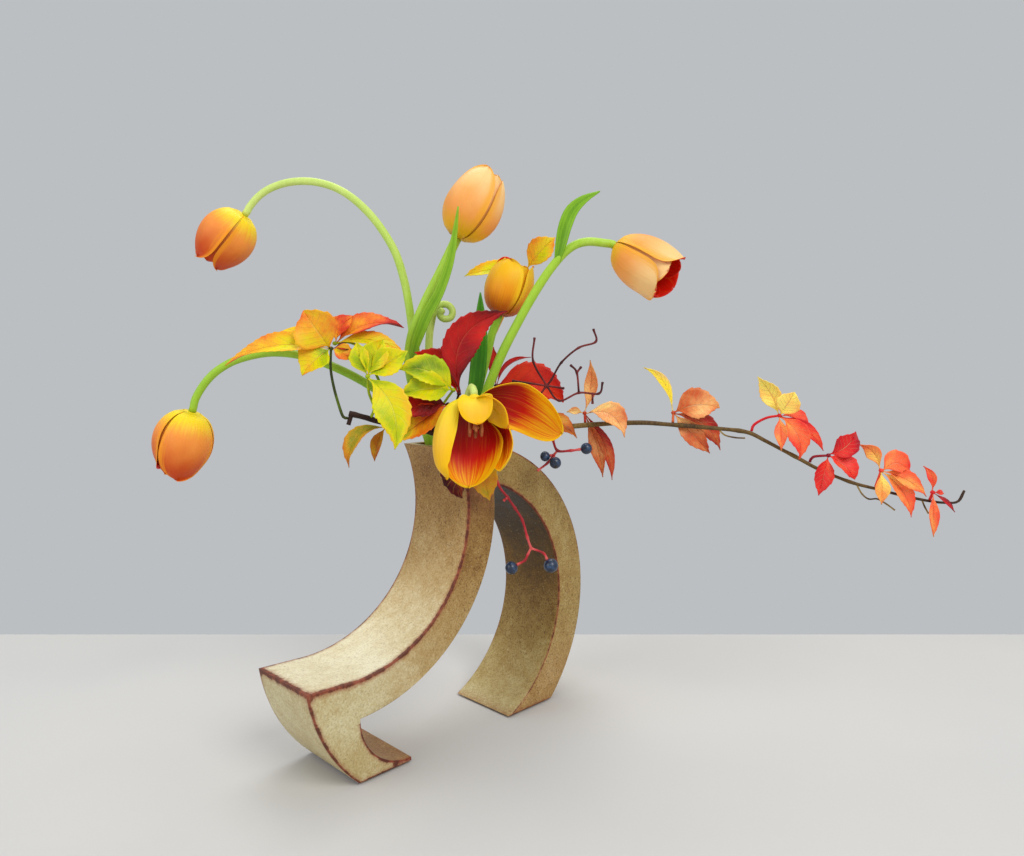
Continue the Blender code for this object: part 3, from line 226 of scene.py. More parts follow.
# Each leaf: finish, the point where its leaflets meet, what carries it, the tone of its stalk,
# the middle of its petiole and its leaflets. A leaflet is (tip, width, direction that its face
# looks, arch, sway, ripeness): how far its middle stands off the straight line to the tip,
# towards the face and towards its right, and how ripe it is from its root to its tip, from 0,
# green, to 1, dark red. Faded and scarlet leaves run from pale to deep in the same way. The two
# leaves without a carrier rise inside the mouth, against its walls.
FRONT = (0, -1, 0.25)
LEAVES = {
    "leaf_far_left": ("leaf_orange", (-75, -46, 315), "stub", -0.07,
        [(-68, -40.5, 263), (-71.5, -41.5, 274), (-74.5, -42.5, 287), (-76, -44, 300)],
        [((-93, -53, 343), 34, (-0.2, -0.9, 0.3), 5, 0, (0.52, 0.54)),
         ((-122, -42, 324), 13, (0, -0.5, 0.9), 6, 3, (0.46, 0.52)),
         ((-153, -52, 302), 20, (0.2, -0.7, 0.7), 12, 0, (0.38, 0.56)),
         ((-94, -58, 295), 27, (-0.3, -0.9, 0.3), 3, 0, (0.24, 0.5)),
         ((-60, -44, 306), 15, (0, -0.75, 0.65), 2, 0, (0.52, 0.6)),
         ((-60, -41, 314), 8, (0, -0.7, 0.7), 2, 0, (0.86, 0.94))]),
    "leaf_left_red": ("leaf_red", (-74, -37, 319), "twig", 0.05,
        [(-36, -29, 272), (-42, -33, 292), (-52, -36, 312), (-62, -36, 319.5)],
        [((-23, -24, 331), 21, (0.1, -0.6, 0.8), 9, -2, (0.64, 0.8)),
         ((-20, -35, 310), 14, (0, -0.8, 0.6), 8, -3, (0.36, 0.58)),
         ((-60, -30, 340), 16, (-0.2, -0.8, 0.3), 3, -2, (0.62, 0.7))]),
    "leaf_yellow_green": ("leaf_yellow_green", (-47, -50, 294), "twig", 0.1,
        [(-44, -41, 270), (-47, -46, 282)],
        [((-55, -48, 320), 16, (-0.3, -0.9, 0.2), 2, 0, (0.28, 0.32)),
         ((-36, -45, 322), 22, FRONT, 2, 0, (0.3, 0.34)),
         ((-17, -47, 313), 22, (0.2, -0.9, 0.4), 2, 0, (0.28, 0.34)),
         ((-26, -59, 240), 27, (0.1, -0.95, 0.2), 6, -9, (0.3, 0.4))]),
    "leaf_hooked": ("leaf_olive", (-35, -42, 256), "twig", 0.5,
        [],
        [((-62, -50, 225), 16, (-0.2, -0.7, 0.6), 10, 5, (0.3, 0.52)),
         ((-44, -42, 229), 12, (-0.5, -0.8, 0.2), 3, 0, (0.5, 0.62))]),
    "leaf_center_green": ("leaf_yellow_green", (16, -31, 283), "twig", 0.1,
        [(3, -25, 264), (10, -29, 275)],
        [((-25, -40, 299), 26, (0, -0.85, 0.5), 5, 5, (0.24, 0.28)),
         ((-24, -44, 280), 25, (0, -0.85, 0.5), 5, 0, (0.29, 0.3))]),
    "leaf_center_red": ("leaf_maroon", (20, -25.5, 280), "twig", 0.9,
        [(12, -15, 258), (17, -22, 271)],
        [((58, -25, 344), 27, (0.15, -0.95, 0.1), 3, -19, (0.92, 0.76, 0.64, 0.92)),
         ((-16, -13, 312), 24, (0, -0.95, 0.3), 2, 5, (0.54, 0.6)),
         ((10, -8, 328), 13, (-0.1, -0.95, 0.1), 1, 0, (0.14, 0.1))]),
    "leaf_maroon_low": ("leaf_maroon", (12, -33, 272), "twig", 0.9,
        [(6, -25, 258), (10.5, -30.5, 267)],
        [((-25, -44, 261), 27, (0.1, -0.85, 0.5), 3, 4, (0.92, 0.62)),
         ((-27, -42, 244), 24, (0.1, -0.85, 0.5), 3, 0, (0.4, 0.06))]),
    "leaf_under_tulip": ("leaf_olive", (30, -33, 238), None, 0.8,
        [(21.6, -16.7, 229), (21.6, -16.7, 239.5), (26, -28, 242)],
        [((23, -36, 199), 26, (-0.3, -0.95, 0.1), 4, 6, (0.8, 0.88)),
         ((44, -30, 196), 22, (0.3, -0.95, 0.1), 4, 0, (0.34, 0.5))]),
    "leaf_behind_red": ("leaf_maroon", (48, 27, 284), "vine", 0.9,
        [(46, 24, 262), (47, 26, 274)],
        [((105, 25, 270), 34, (0, -0.9, 0.35), 4, -9, (0.66, 0.5, 0.56)),
         ((78, 34, 308), 8, (-0.2, -0.5, 0.8), 4, -7, (0.76, 0.7)),
         ((46, 27, 317), 11, FRONT, 1, 0, (0.68, 0.68))]),
    "leaf_behind_brown": ("leaf_olive", (84, 0, 260), "vine", 0.6,
        [],
        [((114, -8, 243), 17, (0, -0.6, 0.8), 5, 0, (0.5, 0.74))]),
    "leaf_top_orange": ("leaf_orange", (74, 37, 383), None, 0.4,
        [(8.5, 30.4, 228), (8.5, 30.4, 239), (14, 34, 262), (30, 38, 290), (48, 38, 330)],
        [((21, 40, 377), 18, (0, -0.8, 0.6), 4, 0, (0.45, 0.4)),
         ((98, 36, 409), 22, (0, -0.9, 0.4), 4, 0, (0.44, 0.5))]),
    "leaf_dry": ("leaf_dry", (122, 11, 262), "vine", 0.7,
        [],
        [((126, 9, 306), 12, FRONT, -4, 3, (0.42, 0.46)),
         ((107, 10, 263), 7, (-0.2, -0.9, 0.4), 1, 1, (0.3, 0.3)),
         ((152, -12, 244), 21, (0.1, -0.75, 0.6), 7, -7, (0.3, 0.5)),
         ((138, 14, 208), 13, (-0.3, -0.9, 0), 2, -3, (0.55, 0.66)),
         ((146, 17, 205), 13, (0.5, -0.85, 0), 3, -4, (0.8, 0.74))]),
    "leaf_terracotta": ("leaf_dry", (194, 2.4, 263), "vine", 0.6,
        [],
        [((168, -4, 300), 9, (0.2, -0.9, 0.2), -3, 9, (0.08, 0.04)),
         ((231, 0, 267), 27, (0, -0.9, 0.4), 4, -3, (0.6, 0.44)),
         ((224, 0, 230), 16, (-0.3, -0.9, 0.2), 3, 0, (0.4, 0.72)),
         ((233, 2, 232), 18, (0.3, -0.9, 0.3), 3, -7, (0.64, 0.78))]),
    "leaf_coral": ("leaf_scarlet", (275, -16, 262), "vine", 0.72,
        [(256, -13, 254.5), (265, -14.5, 260)],
        [((258, -12, 293), 16, (-0.3, -0.9, -0.2), -3, 2, (0.12, 0)),
         ((285, -20, 281), 19, FRONT, 2, 0, (0.16, 0.02)),
         ((298, -17, 248), 15, (0.2, -0.6, 0.8), 3, -6, (0.55, 0.65)),
         ((274, -26, 235), 11, (-0.2, -0.95, 0.1), 3, 0, (0.38, 0.42)),
         ((288, -26, 228), 18, (0.2, -0.95, 0.1), 4, -5, (0.42, 0.62)),
         ((310, -18, 234), 13, (0, -0.8, 0.6), 4, -2, (0.72, 0.62))]),
    "leaf_scarlet": ("leaf_scarlet", (312, -24, 231), "vine", 0.9,
        [(301, -21.5, 229.5)],
        [((332, -26, 250), 18, (-0.3, -0.9, 0.3), 2, 4, (0.72, 0.88)),
         ((330, -32, 213), 21, (0.3, -0.8, 0.4), 3, 0, (0.62, 0.72)),
         ((303, -30, 200), 15, (-0.3, -0.9, 0), 2, 0, (0.62, 0.74))]),
    "leaf_star": ("leaf_scarlet", (351, -31, 220), "vine", 0.5,
        [],
        [((335, -26, 240), 12, (-0.4, -0.9, 0), -3, 4, (0.24, 0.42)),
         ((372, -33, 220), 21, (0.1, -0.85, 0.4), 2, -5, (0.4, 0.56)),
         ((385, -35, 200), 14, (0.2, -0.8, 0.6), 4, -1, (0.36, 0.46)),
         ((373, -37, 184), 14, (0.2, -0.95, 0.1), 3, -4, (0.28, 0.52)),
         ((350, -36, 194), 12, (-0.2, -0.95, 0), 2, 0, (0.12, 0.34))]),
    "leaf_tip_red": ("leaf_scarlet", (388, -39, 204), "vine", 0.7,
        [],
        [((382, -35, 224), 7, (-0.3, -0.9, 0), 1, 3, (0.5, 0.6)),
         ((396, -40, 203), 5, (0, -0.8, 0.6), 1, 0, (0.6, 0.6)),
         ((404, -42, 189), 5, (0.3, -0.8, 0.4), 2, 0, (0.9, 0.95)),
         ((388, -43, 170), 10, (0.1, -0.95, 0), 2, 1, (0.5, 0.4))]),
}

# Stalks: finish, radius and runs; the first run of each starts at the vine.
STALKS = {
    "berry_stalk_front": ("berry_stalk", 1.1, [
        [(46, 9, 246), (46, -2, 243), (46, -11, 238), (47, -16, 228), (50, -17, 208),
         (58, -16, 196), (64, -15, 187), (70, -15, 177), (74, -15, 163), (77, -15, 154)],
        [(58, -16, 196), (55, -17, 193.5)],
        [(77, -15, 154), (74.5, -15, 149), (72, -15, 144), (66, -15, 140.5)],
        [(77, -15, 154), (87, -15, 150), (90, -15, 145)],
    ]),
    "berry_stalk_right": ("berry_stalk", 1.1, [
        [(92, 5, 245), (95, 2, 241), (99, 0, 232), (110, 0, 232), (117.5, 0, 233)],
        [(99, 0, 232), (96, 2, 228), (91, 5, 221), (83, 4, 215)],
        [(96, 2, 228), (93, 0.9, 227.7)],
        [(96, 2, 228), (96.4, -0.6, 225.8)],
    ]),
    "bare_panicle": ("bare_stalk", 1, [
        [(76, 11, 264), (90, 6, 285)],
        [(90, 6, 285), (79, 6, 305), (80, 6, 324)],
        [(90, 6, 285), (94, 5, 290), (102, 4, 304), (116, 4, 316), (130, 4, 321), (128, 4, 331)],
        [(62, 7, 289), (90, 6, 285), (104, 2, 283)],
        [(90, 6, 285), (100, 0, 273), (116, -2, 279.5), (132, -4, 279), (135, -4, 288)],
        [(116, -2, 279.5), (114, -4, 296), (109, -4, 302)],
        [(114, -4, 296), (117.5, -4, 300.5)],
        [(127, -3.5, 279.3), (127, -4, 271)],
    ]),
}
# Each berry hangs on the end of one run of a stalk: stalk, run, radius.
BERRIES = {
    "berry_front_left": ("berry_stalk_front", 2, 5.3),
    "berry_front_right": ("berry_stalk_front", 3, 6.0),
    "berry_right_end": ("berry_stalk_right", 0, 4.9),
    "berry_right_upper": ("berry_stalk_right", 2, 4.2),
    "berry_right_lower": ("berry_stalk_right", 3, 4.9),
}

# ---------------------------------------------------------------- how the look is made

PROFILE_SPACING = 3.0
SIDE_SPACING = 6.0
FACE_SPACING = 4.0
ROUNDING_STEPS = 3
CAVITY_ROUNDING = 0.6
SHARP_ANGLE = math.radians(50)
# painted shade: the dark glaze level given to the hollow's inner walls
INSIDE_PAINTED_SHADE = 0.2
NO_IRON = 20.0  # further from an edge, in widths of its line, than the iron ever reaches
# The iron line's width along each stretch of the vase's edges, from its start to its end, and
# across the vase at the corners of its left foot.
IRON_WIDTHS = {
    "left_base": (0.9, 0.9), "toe": (1.0, 1.0), "notch": (1.1, 1.0), "left_outer": (0.12, 0.12),
    "right_inner": (1.0, 0.45), "right_base": (0.8, 0.8), "right_outer": (0.2, 0.75),
    "mouth": (0.5, 0.5), "left_inner": (0.9, 1.6), "lip": (1.7, 1.7), "end": (1.3, 0.9),
}
CORNER_IRON_WIDTHS = ((LIP, 2.1), (HEEL, 0.9), (TOE, 0.9))
# finishes of the pieces that stay as the solids have them
KEPT_SOLIDS = {"water": "water", "foot_pad_left_front": "felt", "foot_pad_left_back": "felt",
               "foot_pad_right_front": "felt", "foot_pad_right_back": "felt"}

# points along and across blades, and between points along round stems
PETAL_ROWS, OPEN_PETAL_ROWS, PETAL_COLUMNS = 34, 40, 25
TULIP_LEAF_SPACING, TULIP_LEAF_COLUMNS = 4.0, 13
STEM_SPACING, SHOOT_SPACING, VINE_SPACING, TWIG_SPACING = 3.0, 2.0, 2.5, 2.0
PETIOLE_SPACING, STALK_SPACING = 2.0, 1.5
FIRST_BLOOM_SEED, FIRST_LEAF_SEED = 3, 20
LEAF_MARGIN = 1.0  # stalks and joints take the plain colour of a leaflet's margin
LEAF_COLUMNS = (-1, -0.88, -0.72, -0.52, -0.32, -0.16, -0.06, 0, 0.06, 0.16, 0.32, 0.52, 0.72,
                0.88, 1)
SIDE_VEINS, VEIN_SLANT = 8, 1.5  # pairs of veins, and how many of their spaces a vein slants
# half a leaflet's width along its length, as (share of the length, share of the width)
BROAD_OUTLINE = ((0, 0.06), (0.05, 0.07), (0.11, 0.22), (0.20, 0.62), (0.30, 0.88), (0.41, 0.99),
                 (0.52, 1.0), (0.64, 0.86), (0.76, 0.60), (0.87, 0.30), (0.94, 0.12), (1, 0.02))
NARROW_OUTLINE = ((0, 0.06), (0.08, 0.10), (0.18, 0.34), (0.34, 0.80), (0.5, 1.0), (0.66, 0.82),
                  (0.80, 0.48), (0.92, 0.16), (1, 0.03))

PETAL_COLOURS = {
    # name: middle, tip, margin, foot, where the margin starts, how far the foot reaches
    "petal": ((250, 152, 66), (206, 66, 0), (252, 158, 24), (252, 220, 30), 0.72, 0.36),
    "petal_pale": ((247, 157, 72), (255, 206, 138), (250, 170, 34), (240, 180, 6), 0.62, 0.34),
    "petal_gold": ((240, 146, 14), (244, 192, 30), (252, 204, 30), (190, 84, 10), 0.66, 0.45),
    "petal_deep": ((252, 188, 72), (250, 190, 18), (255, 198, 10), (250, 226, 30), 0.45, 0.80),
}
# Leaf and stem colours are (ripeness or tone, red, green, blue).
AUTUMN = ((0.0, 56, 66, 26), (0.10, 110, 140, 14), (0.20, 168, 190, 6), (0.32, 224, 216, 10),
          (0.46, 244, 184, 34), (0.58, 238, 134, 36), (0.70, 216, 62, 26), (0.82, 176, 22, 24),
          (0.92, 100, 12, 16), (1.0, 52, 8, 12))
OLIVE = ((0.0, 74, 84, 20), (0.25, 148, 142, 22), (0.42, 206, 150, 26), (0.6, 196, 104, 24),
         (0.76, 140, 52, 24), (0.9, 92, 14, 18), (1.0, 52, 8, 14))
CRIMSON = ((0.0, 158, 172, 6), (0.14, 234, 186, 20), (0.28, 238, 116, 22), (0.42, 224, 58, 24),
           (0.58, 198, 26, 18), (0.74, 158, 12, 18), (0.9, 98, 8, 16), (1.0, 46, 6, 12))
FADED = ((0.0, 255, 226, 60), (0.2, 250, 206, 130), (0.4, 236, 160, 96), (0.6, 204, 96, 48),
         (0.8, 178, 40, 28), (1.0, 90, 24, 22))
SCARLET = ((0.0, 255, 232, 110), (0.2, 255, 186, 90), (0.4, 252, 116, 66), (0.6, 238, 56, 44),
           (0.8, 206, 22, 34), (1.0, 120, 10, 34))
LEAF_FINISHES = {
    # name: colours, vein colour, how blotchy
    "leaf_orange": (AUTUMN, (240, 190, 80), 0.40),
    "leaf_yellow_green": (AUTUMN, (228, 226, 96), 0.30),
    "leaf_olive": (OLIVE, (214, 170, 60), 0.55),
    "leaf_red": (AUTUMN, (226, 130, 70), 0.40),
    "leaf_maroon": (CRIMSON, (190, 70, 50), 0.30),
    "leaf_dry": (FADED, (226, 176, 130), 0.60),
    "leaf_scarlet": (SCARLET, (244, 170, 130), 0.40),
}
STEM_FINISHES = {
    # name: colours, roughness, streakiness, relief, depth of cracks
    "tulip_stem": (((0.0, 62, 118, 16), (0.35, 122, 174, 30), (0.7, 166, 206, 60),
                    (1.0, 208, 228, 130)), 0.42, 0.22, 0.12, 0),
    "tulip_leaf": (((0.0, 26, 82, 12), (0.4, 62, 132, 22), (0.7, 110, 168, 56),
                    (1.0, 166, 204, 96)), 0.4, 0.3, 0.25, 0),
    "pale_shoot": (((0.0, 126, 168, 60), (0.5, 188, 208, 104), (1.0, 220, 228, 150)),
                   0.42, 0.25, 0.15, 0),
    "bark": (((0.0, 26, 14, 12), (0.5, 58, 34, 26), (1.0, 110, 76, 56)), 0.7, 0.7, 0.6, 0.6),
    "vine": (((0.0, 56, 36, 22), (0.5, 116, 90, 42), (1.0, 176, 150, 84)), 0.6, 0.6, 0.5, 0.5),
    "berry_stalk": (((0.0, 110, 16, 24), (0.5, 190, 44, 54), (1.0, 226, 110, 104)),
                    0.45, 0.5, 0.3, 0),
    "bare_stalk": (((0.0, 40, 14, 16), (0.5, 92, 26, 32), (1.0, 140, 50, 50)),
                   0.55, 0.6, 0.4, 0.3),
}
BERRY_SKIN = ((0.30, 10, 18, 34), (0.52, 24, 46, 76), (0.75, 54, 86, 124))
GLAZE_COLOURS = ((0.0, 42, 28, 6), (0.16, 86, 62, 22), (0.32, 131, 94, 38), (0.50, 168, 136, 78),
                 (0.66, 192, 168, 118), (0.82, 214, 200, 160), (1.0, 232, 226, 196))

FLOOR_CORNERS = ((-1.6, -1.5), (1.6, 0.22))
FLOOR_COLOURS = ((206, 204, 200), (196, 196, 196), (226, 222, 214))
WORLD_COLOUR = (0.50, 0.52, 0.54)
LIGHTS = (
    # name, place, size, power, colour
    ("key", (0.9, -1.4, 1.7), 1.2, 26, (1.0, 0.96, 0.90)),
    ("fill", (-1.5, -1.0, 1.0), 1.4, 10, (0.92, 0.96, 1.0)),
    ("top", (-0.1, 0.6, 1.8), 1.2, 12, (1.0, 0.98, 0.95)),
)
LIGHT_TARGET = (0, 0, 0.2)
CAMERA_PLACE = (61.6, -652.7, 310)
CAMERA_DIP = 5.2
CAMERA_LENS, CAMERA_SENSOR = 28.125, 36

# ---------------------------------------------------------------- small helpers


def unit(vectors):
    return vectors / np.maximum(np.linalg.norm(vectors, axis=-1, keepdims=True), 1e-9)


def smoothstep(low, high, x):
    share = np.clip((x - low) / (high - low), 0, 1)
    return share * share * (3 - 2 * share)


def bell(x, width):
    return np.exp(-(x / width) ** 2)


def smooth_path(points, spacing):
    """Points on a smooth curve through the given ones, about `spacing` apart."""
    places = np.array(points, float)
    ends = np.vstack([2 * places[0] - places[1], places, 2 * places[-1] - places[-2]])
    path = [places[0]]
    for before, start, end, after in zip(ends, ends[1:], ends[2:], ends[3:]):
        steps = max(1, round(float(np.linalg.norm(end - start)) / spacing))
        for t in np.linspace(0, 1, steps + 1)[1:]:
            path.append(0.5 * (2 * start + (end - before) * t
                               + (2 * before - 5 * start + 4 * end - after) * t ** 2
                               + (3 * start - before - 3 * end + after) * t ** 3))
    return np.array(path)


def curve_through(stops, x):
    """A smooth curve of one number through (place, value) stops, read at x."""
    places, values = np.array(stops, float).T
    slopes = np.gradient(values, places)
    i = np.clip(np.searchsorted(places, x, side="right") - 1, 0, len(places) - 2)
    span = places[i + 1] - places[i]
    t = np.clip((x - places[i]) / span, 0, 1)
    return (values[i] * (1 + 2 * t) * (1 - t) ** 2 + slopes[i] * span * t * (1 - t) ** 2
            + values[i + 1] * t * t * (3 - 2 * t) - slopes[i + 1] * span * t * t * (1 - t))


def in_vase(along, deep, up):
    turned = Matrix.Rotation(VASE_TURN, 3, "Z") @ Vector((along, deep, up))
    return np.array(turned + Vector((*VASE_PLACE, 0)))


def axes_of(axis):
    """Three square directions of a plant's axis: two across it and the axis itself."""
    turned = Vector(axis).normalized().to_track_quat("Z", "Y").to_matrix()
    return [np.array(turned.col[i]) for i in range(3)]


def new_object(name, points, faces):
    mesh = bpy.data.meshes.new(name)
    mesh.from_pydata(points.tolist(), [], faces)
    made = bpy.data.objects.new(name, mesh)
    bpy.context.scene.collection.objects.link(made)
    return made


# ---------------------------------------------------------------- meshes


class Piece:
    """A mesh in the making: points in the design frame, and what the finishes read from them."""

    def __init__(self):
        self.points, self.faces, self.grain, self.tone = [], [], [], []
        self.count = 0

    def add(self, points, faces, grain, tone):
        points = np.asarray(points, float).reshape(-1, 3)
        self.points.append(points)
        self.grain.append(np.asarray(grain, float).reshape(-1, 3))
        self.tone.append(np.broadcast_to(np.asarray(tone, float).ravel(), len(points)))
        self.faces += [tuple(int(i) + self.count for i in face) for face in faces]
        self.count += len(points)

    def finish(self, node, finish, look=None, glaze=None):
        """Make the object, which stands for a node of the solids, and give it its finish."""
        made = new_object(node + "_fine", np.vstack(self.points) * MM + SHIFT, self.faces)
        made.data.attributes.new("tone", "FLOAT", "POINT").data.foreach_set(
            "value", np.concatenate(self.tone).astype(np.float32))
        vectors = {"grain": np.vstack(self.grain)}
        if glaze is not None:
            vectors["glaze"] = glaze
        for name, values in vectors.items():
            layer = made.data.attributes.new(name, "FLOAT_VECTOR", "POINT")
            layer.data.foreach_set("vector", values.astype(np.float32).ravel())
        made.data.shade_smooth()
        made.data.materials.append(MATERIALS[look or finish])
        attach(made, "root")
        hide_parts(node)
        return made


def grid_quads(rows, columns, wrap=False):
    index = np.arange(rows * columns).reshape(rows, columns)
    if wrap:
        index = np.hstack([index, index[:, :1]])
    return np.stack([index[:-1, :-1], index[1:, :-1], index[1:, 1:], index[:-1, 1:]],
                    axis=-1).reshape(-1, 4)


def add_sheet(piece, face, thickness, share, across, seed, tone, back_tone):
    """A closed thin sheet under a grid of points, rows along it and columns across."""
    rows, columns = face.shape[:2]
    normal = unit(np.cross(np.gradient(face, axis=0), np.gradient(face, axis=1)))
    back = face - normal * np.broadcast_to(thickness, (rows, columns))[..., None]
    half = rows * columns
    quads = grid_quads(rows, columns)
    index = np.arange(half).reshape(rows, columns)
    rim = np.concatenate([index[:-1, 0], index[-1, :-1], index[:0:-1, -1], index[0, :0:-1]])
    after = np.roll(rim, -1)
    edge = np.stack([after, rim, rim + half, after + half], axis=-1)
    grain = np.stack(np.broadcast_arrays(across, share[:, None], seed), axis=-1)
    tones = [np.broadcast_to(side, (rows, columns)) for side in (tone, back_tone)]
    piece.add(np.stack([face, back]), np.vstack([quads, quads[:, ::-1] + half, edge]),
              np.stack([grain, grain]), np.stack(tones))


def add_rings(piece, rings, ends, share, seed, tone):
    """A closed body of rings, each at a share of its length, with a point at either end."""
    sides = len(rings[0])
    count = len(rings) * sides
    faces = [*grid_quads(len(rings), sides, wrap=True)[:, ::-1]]
    for i in range(sides):
        j = (i + 1) % sides
        faces.append((j, i, count))
        faces.append((count - sides + i, count - sides + j, count + 1))
    along = np.append(np.repeat(share, sides), (0, 1))
    grain = np.stack(np.broadcast_arrays(LEAF_MARGIN, along, seed), axis=-1)
    piece.add(np.vstack([*rings, ends]), faces, grain, tone)


def add_tube(piece, path, radii, sides, seed, tone, round_start=False, round_end=True,
             waviness=0.0):
    """A round stem along a path, with a slightly domed end or a plain cut one."""
    radii = np.broadcast_to(np.asarray(radii, float), len(path)).copy()
    share = np.linspace(0, 1, len(path))
    tangent = unit(np.gradient(path, axis=0))
    if round_end:
        dome = path[-1] + tangent[-1] * radii[-1] * np.array([[0.35], [0.5]])
        path, share = np.vstack([path, dome]), np.append(share, (1, 1))
        radii = np.append(radii, radii[-1] * np.array((0.75, 0.3)))
        tangent = np.vstack([tangent, tangent[-1:], tangent[-1:]])
    if round_start:
        dome = path[0] - tangent[0] * radii[0] * np.array([[0.5], [0.35]])
        path, share = np.vstack([dome, path]), np.append((0, 0), share)
        radii = np.append(radii[0] * np.array((0.3, 0.75)), radii)
        tangent = np.vstack([tangent[:1], tangent[:1], tangent])
    normal = np.cross(tangent[0], (0.3, 0.5, 0.8))
    angle = np.linspace(0, math.tau, sides, endpoint=False)[:, None]
    rings = []
    for i, (place, direction, radius) in enumerate(zip(path, tangent, radii)):
        normal = unit(normal - direction * normal.dot(direction))
        other = np.cross(direction, normal)
        swell = 1 + waviness * (np.sin(2 * angle + i * 0.35 + seed)
                                + 0.6 * np.sin(3 * angle - i * 0.55 + 2 * seed))
        rings.append(place + (np.cos(angle) * normal + np.sin(angle) * other) * radius * swell)
    if np.ndim(tone):
        ring_tone = np.interp(share, np.linspace(0, 1, len(tone)), tone)
        tone = np.append(np.repeat(ring_tone, sides), (tone[0], tone[-1]))
    add_rings(piece, rings, path[[0, -1]], share, seed, tone)


def add_ball(piece, centre, radius, axis, squash, seed, tone, rings, sides):
    """A round fruit or joint, a little flattened along its axis."""
    side, other, up = axes_of(axis)
    tilt = np.linspace(0, math.pi, rings + 1)[1:-1]
    turn = np.linspace(0, math.tau, sides, endpoint=False)
    wobble = 1 + 0.025 * np.sin(2 * turn[None] + seed) * np.sin(tilt[:, None])
    across = (np.cos(turn)[None, :, None] * side + np.sin(turn)[None, :, None] * other)
    points = centre + radius * (across * (np.sin(tilt)[:, None] * wobble)[..., None]
                                - up * (np.cos(tilt) * squash)[:, None, None])
    ends = centre + radius * squash * 0.97 * np.array([-up, up])
    add_rings(piece, points, ends, (1 - np.cos(tilt)) / 2, seed, tone)


def blade_grid(middle, half_widths, side, curl, across_share, relief=0.0, juts=0.0, twist=0.0):
    """Points of a blade about its middle line, one row for each point of the line.

    curl is the angle that each edge turns towards the face; relief lifts points off the face,
    juts move them along the blade, and twist turns each row about the line."""
    along = unit(np.gradient(middle, axis=0))
    across = unit(side - along * (along * side).sum(-1, keepdims=True))
    up = np.cross(across, along)
    twist = np.broadcast_to(twist, len(middle))[:, None]
    across, up = (across * np.cos(twist) + up * np.sin(twist),
                  up * np.cos(twist) - across * np.sin(twist))
    curl = np.broadcast_to(curl, len(middle))[:, None]
    widths = half_widths.reshape(len(middle), -1)
    turn = curl * across_share
    out = widths * np.sin(turn) / curl
    lift = widths * (1 - np.cos(turn)) / curl + relief
    juts = np.broadcast_to(juts, out.shape)
    return (middle[:, None] + across[:, None] * out[..., None] + up[:, None] * lift[..., None]
            + along[:, None] * juts[..., None])


# ---------------------------------------------------------------- finishes


def tint(red, green, blue):
    """A colour as it looks on a screen, 0 to 255, made linear and opaque."""
    shares = [channel / 255 for channel in (red, green, blue)]
    return (*[c / 12.92 if c <= 0.04045 else ((c + 0.055) / 1.055) ** 2.4 for c in shares], 1)


